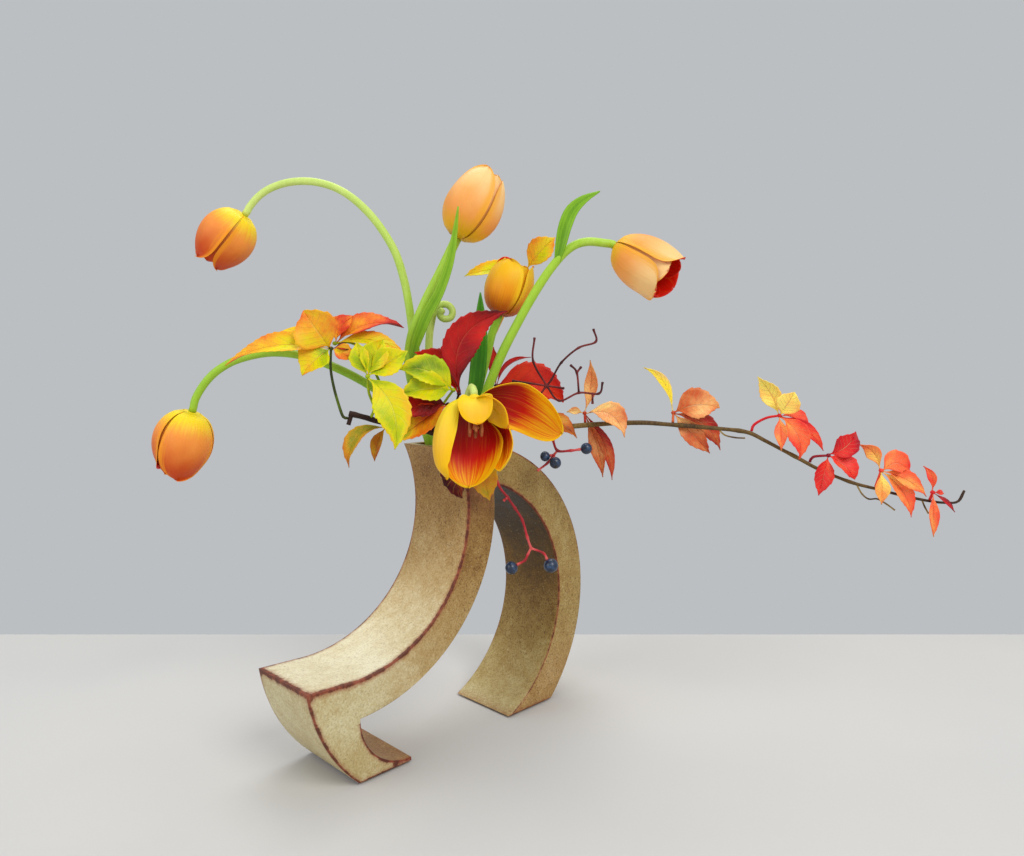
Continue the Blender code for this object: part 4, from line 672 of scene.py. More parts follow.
class Finish:
    """A material with short ways to lay out its nodes; sockets, numbers and colours go in."""

    def __init__(self, name, roughness, **constants):
        self.material = bpy.data.materials.new(name + "_finish")
        self.material.use_nodes = True
        self.tree = self.material.node_tree
        self.shader = self.tree.nodes["Principled BSDF"]
        self.fill(self.shader, Roughness=roughness, **constants)

    def put(self, value, socket):
        if isinstance(value, bpy.types.NodeSocket):
            self.tree.links.new(value, socket)
        else:
            socket.default_value = tint(*value) if socket.type == "RGBA" else value

    def fill(self, node, **inputs):
        """Put values into a node's inputs by their names, with _ for a space."""
        for name, value in inputs.items():
            self.put(value, node.inputs[name.replace("_", " ")])
        return node

    def node(self, kind, *inputs, **settings):
        new = self.tree.nodes.new("ShaderNode" + kind)
        for name, value in settings.items():
            setattr(new, name, value)
        for socket, value in zip(new.inputs, inputs):
            self.put(value, socket)
        return new

    def maths(self, operation, *inputs, clamp=False):
        return self.node("Math", *inputs, operation=operation, use_clamp=clamp).outputs[0]

    def times(self, first, second):
        return self.maths("MULTIPLY", first, second)

    def plus(self, base, value, factor, clamp=False):
        """The base and a multiple of a value."""
        return self.maths("MULTIPLY_ADD", value, factor, base, clamp=clamp)

    def stray(self, base, noise, reach, clamp=False):
        """The base, moved up or down as the noise is above or below its middle."""
        return self.plus(base, self.maths("SUBTRACT", noise, 0.5), reach, clamp)

    def tone(self):
        return self.node("Attribute", attribute_name="tone").outputs["Fac"]

    def parts(self, name):
        """The three numbers of a vector kept at the mesh's points."""
        vector = self.node("Attribute", attribute_name=name).outputs["Vector"]
        return [*self.node("SeparateXYZ", vector).outputs]

    def noise(self, scale, detail, roughness=0.55, stretch=(1, 1, 1), place=None):
        """Noise of `scale` spots a millimetre along each axis, or of a place of its own."""
        if place is None:
            factors = tuple(factor / MM for factor in stretch)
            place = self.node("VectorMath", self.node("TexCoord").outputs["Object"], factors,
                              operation="MULTIPLY").outputs[0]
        return self.fill(self.node("TexNoise"), Vector=place, Scale=scale, Detail=detail,
                         Roughness=roughness).outputs["Fac"]

    def spread(self, value, low, high):
        """0 below `low`, 1 above `high` and smooth between them; low may be the greater."""
        start, end = (0.0, 1.0) if low < high else (1.0, 0.0)
        return self.fill(self.node("MapRange", interpolation_type="SMOOTHSTEP"), Value=value,
                         From_Min=min(low, high), From_Max=max(low, high), To_Min=start,
                         To_Max=end).outputs["Result"]

    def mix(self, share, first, second, kind="MIX"):
        new = self.node("Mix", share, data_type="RGBA", blend_type=kind, clamp_factor=True)
        self.put(first, new.inputs[6])
        self.put(second, new.inputs[7])
        return new.outputs[2]

    def layer(self, under, mask, strength, over):
        return self.mix(self.times(mask, strength), under, over)

    def ramp(self, value, stops):
        """Colours along 0 to 1, as (place, red, green, blue) stops."""
        new = self.node("ValToRGB", value)
        band = new.color_ramp
        while len(band.elements) < len(stops):
            band.elements.new(0.5)
        for element, (place, *colour) in zip(band.elements, stops):
            element.position = place
            element.color = tint(*colour)
        return new.outputs["Color"]

    def made(self, colour, height, distance, roughness=None, strength=1.0):
        """The material with its colour and a relief of `distance` mm for a height of one."""
        relief = self.fill(self.node("Bump"), Strength=strength, Distance=distance * MM,
                           Height=height)
        self.fill(self.shader, Base_Color=colour, Normal=relief.outputs["Normal"])
        if roughness is not None:
            self.fill(self.shader, Roughness=roughness)
        return self.material


def make_petal_finish(name, middle, tip, margin, foot, rim_start, foot_reach):
    """Petals: a warm middle, streaks along it, bright margins and a yellow foot.

    The tone says which side it is: 0 outside, inside from 0.5 on, red as far along as it is
    high and to the very margins from 1.3 on.
    """
    f = Finish(name, 0.42, Subsurface_Weight=0.08, Subsurface_Scale=0.003,
               Specular_IOR_Level=0.22)
    across, along, own = f.parts("grain")
    side = f.tone()
    off_middle = f.maths("ABSOLUTE", across)
    fibres = f.node("CombineXYZ", f.times(across, 16.0), f.times(along, 1.6), f.times(own, 9.1))
    streaks = f.noise(1.0, 4.0, 0.65, place=fibres.outputs[0])
    body = f.mix(f.spread(f.plus(along, f.noise(0.055, 2.0), 0.3), 0.4, 1.1), middle, tip)
    edge = f.stray(off_middle, streaks, 0.5)
    colour = f.layer(body, f.spread(edge, rim_start, 1.0), 0.8, margin)
    colour = f.layer(colour, f.spread(streaks, 0.5, 0.8), 0.3, margin)
    base = f.stray(along, streaks, 0.3)
    colour = f.mix(f.spread(base, foot_reach, 0.02), colour, foot)
    reach = f.plus(f.maths("ADD", base, 0.40), side, -1.2)
    reach = f.plus(reach, f.times(off_middle, off_middle), 0.28)
    warm = f.mix(f.spread(streaks, 0.3, 0.7), (240, 112, 6), margin)
    red = f.mix(f.spread(along, 0.15, 0.75), (138, 0, 2), (222, 20, 2))
    inner = f.mix(f.spread(reach, 0.22, -0.12), warm, red)
    rim = f.spread(f.plus(edge, along, 0.25), 0.86, 1.2)
    inner = f.layer(inner, rim, f.spread(side, 1.45, 1.3), margin)
    inner = f.layer(inner, f.spread(streaks, 0.5, 0.8), 0.25, warm)
    colour = f.mix(f.spread(side, 0.3, 0.5), colour, inner)
    return f.made(colour, streaks, 0.35, f.plus(0.32, streaks, 0.25))


def make_leaf_finish(name, stops, vein, blotch):
    """Creeper leaves: colour by ripeness, with veins, a riper margin and blotches."""
    f = Finish(name, 0.45, Subsurface_Weight=0.06, Subsurface_Scale=0.003,
               Specular_IOR_Level=0.25)
    across, along, _ = f.parts("grain")
    off_middle = f.maths("ABSOLUTE", across)
    fine = f.noise(0.9, 3.0, 0.6)
    slant = f.maths("SUBTRACT", f.times(along, SIDE_VEINS), f.times(off_middle, VEIN_SLANT))
    wave = f.maths("ABSOLUTE", f.maths("SUBTRACT", f.maths("FRACT", slant), 0.5))
    side_vein = f.times(f.spread(wave, 0.07, 0.01), f.spread(off_middle, 0.95, 0.75))
    veins = f.maths("MAXIMUM", f.spread(off_middle, 0.07, 0.02), f.times(side_vein, 0.6))
    ripe = f.stray(f.tone(), f.noise(0.09, 4.0, 0.6), blotch)
    ripe = f.plus(ripe, f.spread(off_middle, 0.45, 1.0), 0.07)
    colour = f.ramp(f.stray(ripe, fine, 0.08, clamp=True), stops)
    relief = f.maths("SUBTRACT", f.times(fine, 0.3), veins)
    return f.made(f.layer(colour, veins, 0.55, vein), relief, 0.3, f.plus(0.3, fine, 0.3))


def make_stem_finish(name, stops, roughness, streak, relief, crack):
    """Stems and stalks: a colour along the stem with streaks, and relief for bark."""
    f = Finish(name, roughness, Specular_IOR_Level=0.3)
    grooves = f.noise(1.0, 4.0, 0.6, stretch=(0.5, 0.5, 0.12))
    place = f.stray(f.tone(), f.noise(0.06, 3.0), streak)
    colour = f.ramp(f.stray(place, grooves, streak, clamp=True), stops)
    if crack:
        dark = f.spread(f.noise(0.7, 5.0, 0.7, stretch=(1, 1, 0.3)), 0.46, 0.38)
        colour = f.layer(colour, dark, crack, (20, 12, 8))
    return f.made(colour, grooves, relief, f.plus(roughness - 0.1, grooves, 0.2))


def make_berry_finish():
    f = Finish("berry", 0.35, Coat_Weight=0.25, Coat_Roughness=0.2)
    bloom = f.noise(0.25, 4.0, 0.6)
    _, along, _ = f.parts("grain")
    scar = f.spread(along, 0.95, 0.99)
    colour = f.mix(scar, f.ramp(bloom, BERRY_SKIN), (30, 18, 16))
    return f.made(colour, bloom, 0.15, f.plus(0.2, bloom, 0.4))


def make_stamen_finish():
    f = Finish("stamen", 0.6)
    _, along, _ = f.parts("grain")
    dust = f.noise(1.2, 4.0, 0.7)
    pale = f.mix(f.spread(along, 0.0, 0.5), (236, 190, 60), (222, 140, 60))
    ripe = f.mix(dust, (110, 48, 20), (196, 104, 40))
    return f.made(f.mix(f.tone(), pale, ripe), dust, 0.4)


def make_plain_finish(name, roughness, noise, colours, relief, **constants):
    """Two colours mixed, and raised, by one noise."""
    f = Finish(name, roughness, **constants)
    grains = f.noise(*noise)
    return f.made(f.mix(grains, *colours), grains, relief)


def make_glaze_finish():
    """A speckled tan glaze that breaks to iron red where it runs thin along the edges."""
    f = Finish("stoneware", 0.5, Specular_IOR_Level=0.35)
    # the tone is the glaze's lightness, with painted shade on the right leg's inner face and in the
    # hollow
    shade = f.tone()
    edge, smear, cast = f.parts("glaze")
    mottle = f.noise(0.14, 4.0, 0.6)
    grit = f.noise(0.7, 3.0, 0.7)
    pepper = f.noise(0.62, 3.0, 0.6)
    sand = f.noise(0.6, 3.0, 0.6)
    level = f.stray(f.stray(shade, f.noise(0.03, 3.0), 0.30), mottle, 0.28)
    colour = f.ramp(f.stray(level, grit, 0.50, clamp=True), GLAZE_COLOURS)
    for way, wash in ((-1.0, (236, 244, 226)), (1.0, (255, 234, 226))):
        colour = f.mix(f.maths("MULTIPLY", cast, way, clamp=True), colour, wash, "MULTIPLY")
    # dark iron specks, fewer where the glaze lies thick and pale, and pale grains
    specks = f.plus(0.25, f.spread(shade, 0.7, 0.4), 0.55)
    colour = f.layer(colour, f.spread(pepper, 0.54, 0.66), specks, (86, 50, 24))
    colour = f.layer(colour, f.spread(sand, 0.62, 0.74), 0.35, (236, 222, 186))
    # where the glaze ran thin
    rust = f.mix(mottle, (126, 62, 38), (176, 112, 76))
    colour = f.layer(colour, f.spread(f.stray(smear, sand, 1.2), 0.35, 0.9), 0.8, rust)
    ragged = f.stray(f.stray(edge, mottle, 2.4), sand, 1.4)
    colour = f.layer(colour, f.spread(ragged, 3.8, 1.4), 0.45, (150, 80, 50))
    iron = f.spread(ragged, 1.9, 1.0)
    iron_colour = f.mix(f.spread(mottle, 0.40, 0.60), (84, 26, 18), (138, 62, 42))
    colour = f.layer(colour, iron, 0.92, iron_colour)
    height = f.plus(f.plus(f.times(pepper, 0.25), grit, 0.5), mottle, 0.9)
    roughness = f.plus(f.plus(0.33, mottle, 0.35), iron, 0.15)
    return f.made(colour, height, 0.5, roughness, strength=0.8)


MATERIALS = {
    "berry": make_berry_finish(), "stamen": make_stamen_finish(), "stoneware": make_glaze_finish(),
    "felt": make_plain_finish("felt", 0.95, (2.0, 5.0, 0.75), ((24, 22, 20), (70, 62, 56)), 0.5),
    "water": make_plain_finish("water", 0.03, (0.04, 2.0), ((226, 236, 230), (240, 246, 244)), 0.6,
                               Transmission_Weight=1.0, IOR=1.33),
}
for make_finish, table in ((make_petal_finish, PETAL_COLOURS), (make_leaf_finish, LEAF_FINISHES),
                           (make_stem_finish, STEM_FINISHES)):
    MATERIALS.update({name: make_finish(name, *values) for name, values in table.items()})


# ---------------------------------------------------------------- the vase


def turn_of(place, centre, radius):
    """The turn about a centre of a point, or of the right side of a circle at a height."""
    if np.ndim(place):
        return math.atan2(place[1] - centre[1], place[0] - centre[0])
    return math.asin((place - centre[1]) / radius)


def arc(centre, radius, *ends):
    """Points along a circle from one place to another, each a height or a point to face."""
    start, end = [turn_of(place, centre, radius) for place in ends]
    turns = np.linspace(start, end, max(2, round(abs(end - start) * radius / PROFILE_SPACING)) + 1)
    return np.stack([centre[0] + radius * np.cos(turns), centre[1] + radius * np.sin(turns)], 1)


def bulged(start, end, bulge):
    """The points of an arc between two ends, whose middle stands off their chord by `bulge`."""
    start, end = np.array(start, float), np.array(end, float)
    chord = np.linalg.norm(end - start)
    radius = ((chord / 2) ** 2 + bulge ** 2) / (2 * abs(bulge))
    rise = np.array((start[1] - end[1], end[0] - start[0])) / chord * math.copysign(1, bulge)
    centre = (start + end) / 2 - rise * (radius - abs(bulge))
    first, last = Vector(start - centre), Vector(end - centre)
    sweep = -first.angle_signed(last)
    steps = max(2, round(chord / PROFILE_SPACING))
    return np.array([centre + np.array(Matrix.Rotation(sweep * i / steps, 2) @ first)
                     for i in range(steps + 1)])


def straight(start, end):
    return np.linspace(start, end, max(1, round(math.dist(start, end) / PROFILE_SPACING)) + 1)


def crotch(left_radius, right_radius):
    """Where a circle of the left leg meets a circle of the right leg, under the top."""
    span = math.dist(LEFT_CENTRE, RIGHT_CENTRE)
    along = (left_radius ** 2 - right_radius ** 2 + span ** 2) / (2 * span)
    off = math.sqrt(left_radius ** 2 - along ** 2)
    toward = (Vector(RIGHT_CENTRE) - Vector(LEFT_CENTRE)) / span
    return np.array(Vector(LEFT_CENTRE) + toward * along + Vector((-toward.y, toward.x)) * off)


def joined(runs):
    """One closed outline from runs that start where the one before ends."""
    return np.vstack([run[:-1] for run in runs])


def vase_runs():
    """The stretches of the slab's profile, anticlockwise from the heel of the left foot."""
    fork = crotch(LEFT_OUTER, RIGHT_INNER)
    right_inner = arc(RIGHT_CENTRE, RIGHT_INNER, fork, 0)
    right_outer = arc(RIGHT_CENTRE, RIGHT_OUTER, 0, TOP)
    left_inner = arc(LEFT_CENTRE, LEFT_INNER, TOP, (LEFT_CENTRE[0], 0))
    return {
        "left_base": straight(HEEL, TOE), "toe": straight(TOE, TOE_TOP),
        "notch": bulged(TOE_TOP, NOTCH_TOP, NOTCH_BULGE),
        "left_outer": arc(LEFT_CENTRE, LEFT_OUTER, NOTCH_TOP, fork),
        "right_inner": right_inner, "right_base": straight(right_inner[-1], right_outer[0]),
        "right_outer": right_outer, "mouth": straight(right_outer[-1], left_inner[0]),
        "left_inner": left_inner, "lip": straight(left_inner[-1], LIP),
        "end": bulged(LIP, HEEL, END_BULGE),
    }


def cavity_outline():
    """The profile of the hollow inside the walls, open at the mouth."""
    left_inner, left_outer = LEFT_INNER + WALL, LEFT_OUTER - WALL
    right_inner, right_outer = RIGHT_INNER + WALL, RIGHT_OUTER - WALL
    above = TOP + WALL
    fork = crotch(left_outer, right_inner)
    shoulder = RIGHT_CENTRE[1] + math.sqrt(right_outer ** 2 - (MOUTH_RIGHT - RIGHT_CENTRE[0]) ** 2)
    down = arc(RIGHT_CENTRE, right_inner, fork, CAVITY_FLOOR)
    up = arc(RIGHT_CENTRE, right_outer, CAVITY_FLOOR, shoulder)
    back = arc(LEFT_CENTRE, left_inner, above, CAVITY_END)
    start = arc(LEFT_CENTRE, left_outer, CAVITY_END, fork)
    corner = (MOUTH_RIGHT, above)
    return joined([start, down, straight(down[-1], up[0]), up, straight(up[-1], corner),
                   straight(corner, back[0]), back, straight(back[-1], start[0])])


def drawn_in(outline, gap):
    """An anticlockwise outline with every edge moved inward by a gap."""
    first = unit(outline - np.roll(outline, 1, axis=0))
    second = unit(np.roll(outline, -1, axis=0) - outline)
    inward = np.stack([-first[:, 1] - second[:, 1], first[:, 0] + second[:, 0]], 1)
    return outline + inward * (gap / (1 + (first * second).sum(1)))[:, None]


def distance_to(outline, points):
    """How far each point lies from a closed outline."""
    nearest = np.full(len(points), np.inf)
    for start, step in zip(outline, np.roll(outline, -1, axis=0) - outline):
        share = np.clip(((points - start) @ step) / step.dot(step), 0, 1)
        off = np.linalg.norm(points - start - share[:, None] * step, axis=1)
        nearest = np.minimum(nearest, off)
    return nearest


def filled(outline, spacing):
    """Points and triangles that fill an outline, with even points inside it."""
    low, high = outline.min(0), outline.max(0)
    ups = np.arange(low[1], high[1], spacing * 0.87)
    lattice = np.array([(x + (i % 2) * spacing / 2, up) for i, up in enumerate(ups)
                        for x in np.arange(low[0], high[0], spacing)])
    crossing = np.zeros(len(lattice), bool)
    for start, end in zip(outline, np.roll(outline, -1, axis=0)):
        spans = (start[1] > lattice[:, 1]) != (end[1] > lattice[:, 1])
        rise = end[1] - start[1] if end[1] != start[1] else 1.0
        at = (end[0] - start[0]) * (lattice[:, 1] - start[1]) / rise + start[0]
        crossing ^= spans & (lattice[:, 0] < at)
    inside = lattice[crossing & (distance_to(outline, lattice) > spacing * 0.6)]
    points = [Vector(p) for p in np.vstack([outline, inside])]
    count = len(outline)
    found = delaunay_2d_cdt(points, [(i, (i + 1) % count) for i in range(count)],
                            [list(range(count))], 1, 1e-5)
    return np.array([tuple(p) for p in found[0]]), found[2], found[3]


def slab(outline, near, far, rounding):
    """A solid slab of a profile between two depths, with rounded front and back edges.

    Returns (along, deep, up) points and faces."""
    quarter = np.linspace(0, math.pi / 2, ROUNDING_STEPS + 1)
    rows = [(rounding * (1 - math.sin(t)), near + rounding * (1 - math.cos(t))) for t in quarter]
    middle = np.linspace(near + rounding, far - rounding,
                         max(3, round((far - near) / SIDE_SPACING)))[1:-1]
    rows += [(0, deep) for deep in middle]
    rows += [(inset, far + near - deep) for inset, deep in reversed(rows[:ROUNDING_STEPS + 1])]
    count = len(outline)
    rings = []
    for inset, deep in rows:
        ring = drawn_in(outline, inset) if inset else outline
        rings.append(np.stack([ring[:, 0], np.full(count, deep), ring[:, 1]], 1))
    points = [np.vstack(rings)]
    faces = [tuple(face) for face in grid_quads(len(rings), count, wrap=True)]
    cap, triangles, sources = filled(rings[0][:, [0, 2]], FACE_SPACING)
    total = len(points[0])
    for ring_start, deep, flip in ((0, near, False), ((len(rings) - 1) * count, far, True)):
        own = [i for i, source in enumerate(sources) if not source or source[0] >= count]
        renumber = {i: total + k for k, i in enumerate(own)}
        for i, source in enumerate(sources):
            if source and source[0] < count:
                renumber[i] = ring_start + source[0]
        points.append(np.stack([cap[own, 0], np.full(len(own), deep), cap[own, 1]], 1))
        total += len(own)
        for face in triangles:
            corners = tuple(renumber[i] for i in face)
            faces.append(corners[::-1] if flip else corners)
    return np.vstack(points), faces


def cut_out(solid, hollow):
    """The first solid less the second, as points and faces."""
    body = new_object("body", *solid)
    tool = new_object("tool", *hollow)
    cut = body.modifiers.new("cut", "BOOLEAN")
    cut.operation = "DIFFERENCE"
    cut.object = tool
    cut.solver = "EXACT"
    bpy.context.view_layer.update()
    mesh = bpy.data.meshes.new_from_object(
        body.evaluated_get(bpy.context.evaluated_depsgraph_get()))
    for helper in (body, tool):
        bpy.data.objects.remove(helper)
    return np.array([v.co for v in mesh.vertices]), [tuple(p.vertices) for p in mesh.polygons]


def coated(base, *coats):
    """The base, covered in turn by each (where, value) coat."""
    for where, value in coats:
        base = np.where(where, value, base)
    return base


def glaze_vase(place, runs, rim, from_front, front, inside):
    """How light the glaze is at each point, with painted shade, and its iron edge, smear and cast.
    """
    profile = place[:, [0, 2]]
    along, up = profile.T
    side = ~front
    height = up / TOP
    nearest = np.argmin(((profile[:, None] - joined(runs.values())[None]) ** 2).sum(2), axis=1)
    run_names = np.repeat(list(runs), [len(run) - 1 for run in runs.values()])[nearest]
    line_width = np.concatenate([np.linspace(*IRON_WIDTHS[name], len(run))[:-1]
                                 for name, run in runs.items()])[nearest]

    def on(*names):
        return side & np.isin(run_names, names)

    # how far the iron that breaks through along the edges is, in widths of its line
    edge = np.where(side, from_front + 0.4, rim) / line_width
    for corner, width in CORNER_IRON_WIDTHS:
        off = np.linalg.norm(profile - corner, axis=1) / width
        edge = np.where(side, np.minimum(edge, off), edge)
    edge = np.where(inside, NO_IRON, edge)
    # the face over the left leg is golden at the top and pale at its low end
    turn = np.arctan2(profile[:, 1] - LEFT_CENTRE[1], profile[:, 0] - LEFT_CENTRE[0])
    down_left = smoothstep(math.radians(20), math.radians(-85), turn)
    left_leg = np.linalg.norm(profile - LEFT_CENTRE, axis=1) < LEFT_OUTER + 0.5
    left_leg |= along < TOE[0] + 1
    foot = smoothstep(-95, -160, along) * smoothstep(110, 65, up) * left_leg
    shade = coated(0.56 + 0.06 * np.sin(along / 23) + 0.05 * np.sin(up / 31),
                   (front & left_leg, 0.30 + 0.42 * down_left ** 1.2),
                   (front & ~left_leg, 0.50 - 0.02 * height))
    shade = coated(shade,
                   (front, shade + (0.78 - 0.10 * smoothstep(60, 0, up) - shade) * foot),
                   (on("left_inner", "lip"), 0.42 + 0.5 * down_left),
                   # painted shade: the right leg's inner face is darkened towards its top
                   (on("right_inner"), 0.78 * (1 - height) ** 1.1 - 0.10),
                   (on("end"), 0.74 + 0.08 * height),
                   (on("notch", "toe"), 0.50),
                   # painted shade on the hollow's inner walls
                   (inside, INSIDE_PAINTED_SHADE))
    # rust where the glaze ran thin, and a rosy (1) or an olive (-1) cast
    band = smoothstep(9, 1, rim) * np.isin(run_names, ("left_inner", "lip"))
    smear = np.maximum.reduce([
        0.75 * smoothstep(0.55, 0.95, height) * (front & left_leg),
        0.75 * band * smoothstep(-60, -150, along) * front,
        0.6 * on("notch", "toe"),
        0.55 * smoothstep(0.05, 0.0, height)])
    cast = coated(0.0,
                  (front, 0.9 * smoothstep(0.35, 0.05, height) - 0.5),
                  (front & left_leg, 0.3 * height - 0.4 * foot),
                  (on("left_inner"), 0.5 * (1 - down_left)),
                  (on("end"), -0.3),
                  (on("right_inner"), -0.6))
    return shade, np.stack([edge, smear, cast], 1)


def make_vase():
    runs = vase_runs()
    outline = joined(runs.values())
    place, faces = cut_out(slab(outline, 0, VASE_DEPTH, EDGE_ROUNDING),
                           slab(cavity_outline(), WALL, VASE_DEPTH - WALL, CAVITY_ROUNDING))
    along, deep, up = place.T
    rim = distance_to(outline, place[:, [0, 2]])
    from_front = np.minimum(deep, VASE_DEPTH - deep)
    front = rim >= 0.7 * EDGE_ROUNDING
    inside = (rim > WALL - 1) & (from_front > WALL - 1)
    shade, glaze = glaze_vase(place, runs, rim, from_front, front, inside)
    # the hand-cut faces are a little uneven
    wobble = (np.sin(along / 19 + deep / 31) * np.cos(up / 23) * 0.22
              + np.sin(up / 11 + along / 13) * 0.07)
    place[:, 1] += np.sign(deep - VASE_DEPTH / 2) * wobble * (front & ~inside)
    corner = in_vase(0, 0, 0)
    turned = np.array([in_vase(*step) - corner for step in np.eye(3)])
    vase = Piece()
    vase.add(place @ turned + corner, faces, np.zeros((len(place), 3)), shade)
    made = vase.finish("vase", "stoneware", glaze=glaze)
    made.data.set_sharp_from_angle(angle=SHARP_ANGLE)


def keep_solids():
    """The water and the felt pads stay as the solids have them, with their own finishes."""
    for name, finish in KEPT_SOLIDS.items():
        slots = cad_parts[name].data.materials
        slots.clear()
        slots.append(MATERIALS[finish])


# ---------------------------------------------------------------- stems and blooms


def stem_course(plant, spacing):
    """A stem's path from its cut end in the water, out of the mouth and on, and its radii."""
    points = [in_vase(*place) for place in plant["foot"]] + plant["stem"]
    if "base" in plant:
        axis = unit(plant["axis"])
        points += [plant["base"] - axis * STRAIGHT_NECK, plant["base"] - axis * GAP]
    path = smooth_path(points, spacing)
    return path, np.linspace(*plant["radii"], len(path))


def add_tulip_leaf(piece, name, tone):
    """A long tulip leaf, folded along its middle, with parallel ribs and a soft wave."""
    spine, side, half_widths, curl = TULIP_LEAVES[name]
    middle = smooth_path(spine, TULIP_LEAF_SPACING)
    share = np.linspace(0, 1, len(middle))
    stops = list(zip(np.linspace(0, 1, len(spine)), half_widths))
    widths = np.maximum(curve_through(stops, share), 0.3)
    across = np.linspace(-1, 1, TULIP_LEAF_COLUMNS)
    wave = 0.06 * np.sin(share * 9 + len(name))
    face = blade_grid(middle, widths, side, curl + wave, across)
    ribs = 0.10 * np.cos(across * 22) - 0.18 * bell(across, 0.12)
    shade = tone + 0.10 * share[:, None] + ribs + 0.12 * np.abs(across) ** 4
    thin = 1.1 * (1 - 0.6 * np.abs(across) ** 3)
    add_sheet(piece, face, thin, share, across, len(name), shade, shade)


def make_stems():
    for name, plant in TULIPS.items():
        path, radii = stem_course(plant, STEM_SPACING)
        stem = Piece()
        light = np.linspace(*plant["light"], len(path))
        add_tube(stem, path, radii, sides=20, seed=len(name), tone=light, round_end=False,
                 waviness=0.012)
        if "leaf_tone" in plant:
            add_tulip_leaf(stem, name, plant["leaf_tone"])
        stem.finish("tulip_stem_" + name, "tulip_stem")
    leaf = Piece()
    add_tulip_leaf(leaf, "center", CENTER_LEAF_TONE)
    leaf.finish("tulip_leaf_center", "tulip_leaf")
    shoot = Piece()
    add_tube(shoot, *stem_course(SHOOT, SHOOT_SPACING), sides=16, seed=3,
             tone=np.linspace(*SHOOT_LIGHT, 9), waviness=0.02)
    shoot.finish("curled_shoot", "pale_shoot")


def petal_columns():
    """Places across a petal, from -1 to 1 and closer together at its edges."""
    return np.sin(np.linspace(-1, 1, PETAL_COLUMNS) * math.pi / 2)


def bloom_radius(share, closing):
    """A closed bloom's radius at a share of its height, as a share of its greatest radius."""
    return np.sin(math.pi * (0.03 + closing * share ** 0.85)) ** 0.5


def add_closed_petal(piece, plant, turn, length, shape, draw, seed):
    """A petal wrapped round the bloom's axis, `turn` degrees about it."""
    scale, stretch, reach = shape
    side, other, axis = axes_of(plant["axis"])
    share = 1 - np.linspace(1, 0, PETAL_ROWS) ** 2
    columns = petal_columns()
    rows = share[:, None]
    wrap = reach * np.maximum(np.cos(math.pi / 2 * rows ** 6), 0) ** 0.5 + 0.02
    radius = scale * plant["width"] / 2 * bloom_radius(rows, plant["closing"])
    # a shallow groove down the middle, full cheeks, edges that stand off and roll a little
    groove = -0.7 * bell(columns, 0.10) * np.sin(math.pi * rows) ** 0.7
    cheeks = 0.5 * np.cos(math.pi * columns) * np.sin(math.pi * rows)
    ribs = 0.10 * np.sin(columns * 31 + seed) * np.sin(math.pi * rows)
    rim = draw[0] * np.abs(columns) ** 6 * rows * (1 + 0.6 * np.sin(9 * rows + seed + 2 * columns))
    tip = draw[1] * rows ** 6 * np.cos(columns * 1.2)
    radius = radius + (groove + cheeks + ribs + rim + tip) * np.minimum(1, rows * 6)
    angle = math.radians(turn) + wrap * columns + draw[2] * rows ** 2
    height = length * stretch * (rows + 0.012 * np.sin(5 * columns + seed) * rows ** 3)
    spoke = np.cos(angle)[..., None] * side + np.sin(angle)[..., None] * other
    face = plant["base"] + axis * height[..., None] + spoke * radius[..., None]
    thin = PETAL_THICKNESS * (1 - 0.6 * np.abs(columns) ** 4) * (1 - 0.55 * rows ** 4)
    add_sheet(piece, face[:, ::-1], thin, share, columns[::-1], seed, 0.0, 1.5)


def make_closed_blooms():
    for number, (name, plant) in enumerate(TULIPS.items()):
        if "length" not in plant:
            continue
        draw = np.random.default_rng(FIRST_BLOOM_SEED + number)
        bloom = Piece()
        # the petals' common foot, a little inside them
        foot = np.linspace(0, 0.16, 6)
        path = np.outer(foot * plant["length"], axes_of(plant["axis"])[2])
        radii = plant["width"] / 2 * 0.86 * bloom_radius(foot, plant["closing"])
        add_tube(bloom, plant["base"] + path, radii, sides=20, seed=number, tone=0.0)
        for i, share in enumerate(PETAL_LENGTHS):
            turn = plant["turn"] + 120 * i
            length = plant["length"] * share
            wander = draw.uniform(-1, 1, 6)
            add_closed_petal(bloom, plant, turn + 60, length, INNER_PETAL,
                             (0.5, 0.3 + wander[0], 0.06 * wander[1]), number * 7 + i + 0.5)
            add_closed_petal(bloom, plant, turn, length, OUTER_PETAL,
                             (0.9 + 0.5 * wander[2], 0.8 * wander[3], 0.05 * wander[4]),
                             number * 7 + i)
        bloom.finish("tulip_bloom_" + name, "petal", plant.get("look"))


def petal_width(share):
    """An open petal's width at a share of its length, as a share of its greatest width."""
    root = np.sin(math.pi / 2 * np.minimum(1, 0.08 + 1.9 * share))
    return np.maximum(0.02, root * np.sqrt(np.maximum(0, 1 - share ** 5)))


def add_open_petal(piece, points, way, half_width, curl, tones, number):
    """A petal of the open bloom, with a crease along it, wavy edges and fine ribs."""
    line = smooth_path(points, 1.0)
    place = np.linspace(0, 1, len(line))
    share = 1 - np.linspace(1, 0, OPEN_PETAL_ROWS) ** 1.6
    middle = np.stack([np.interp(share, place, line[:, i]) for i in range(3)], axis=1)
    columns = petal_columns()
    rows = share[:, None]
    relief = math.copysign(1, curl) * (
        0.7 * bell(columns, 0.10) * np.sin(math.pi * rows)
        + 0.9 * np.abs(columns) ** 3 * np.sin(rows * 9 + number * 2 + columns)
        + 0.12 * np.sin(columns * 33 + number))
    jag = 0.8 * np.sin(columns * 7 + number) * rows ** 4
    face = blade_grid(middle, half_width * petal_width(share), way, curl, columns,
                      relief * np.minimum(1, rows * 5), jag)
    thin = PETAL_THICKNESS * (1 - 0.6 * np.abs(columns) ** 4) * (1 - 0.4 * rows ** 4)
    add_sheet(piece, face, thin, share, columns, number * 1.7, *tones)


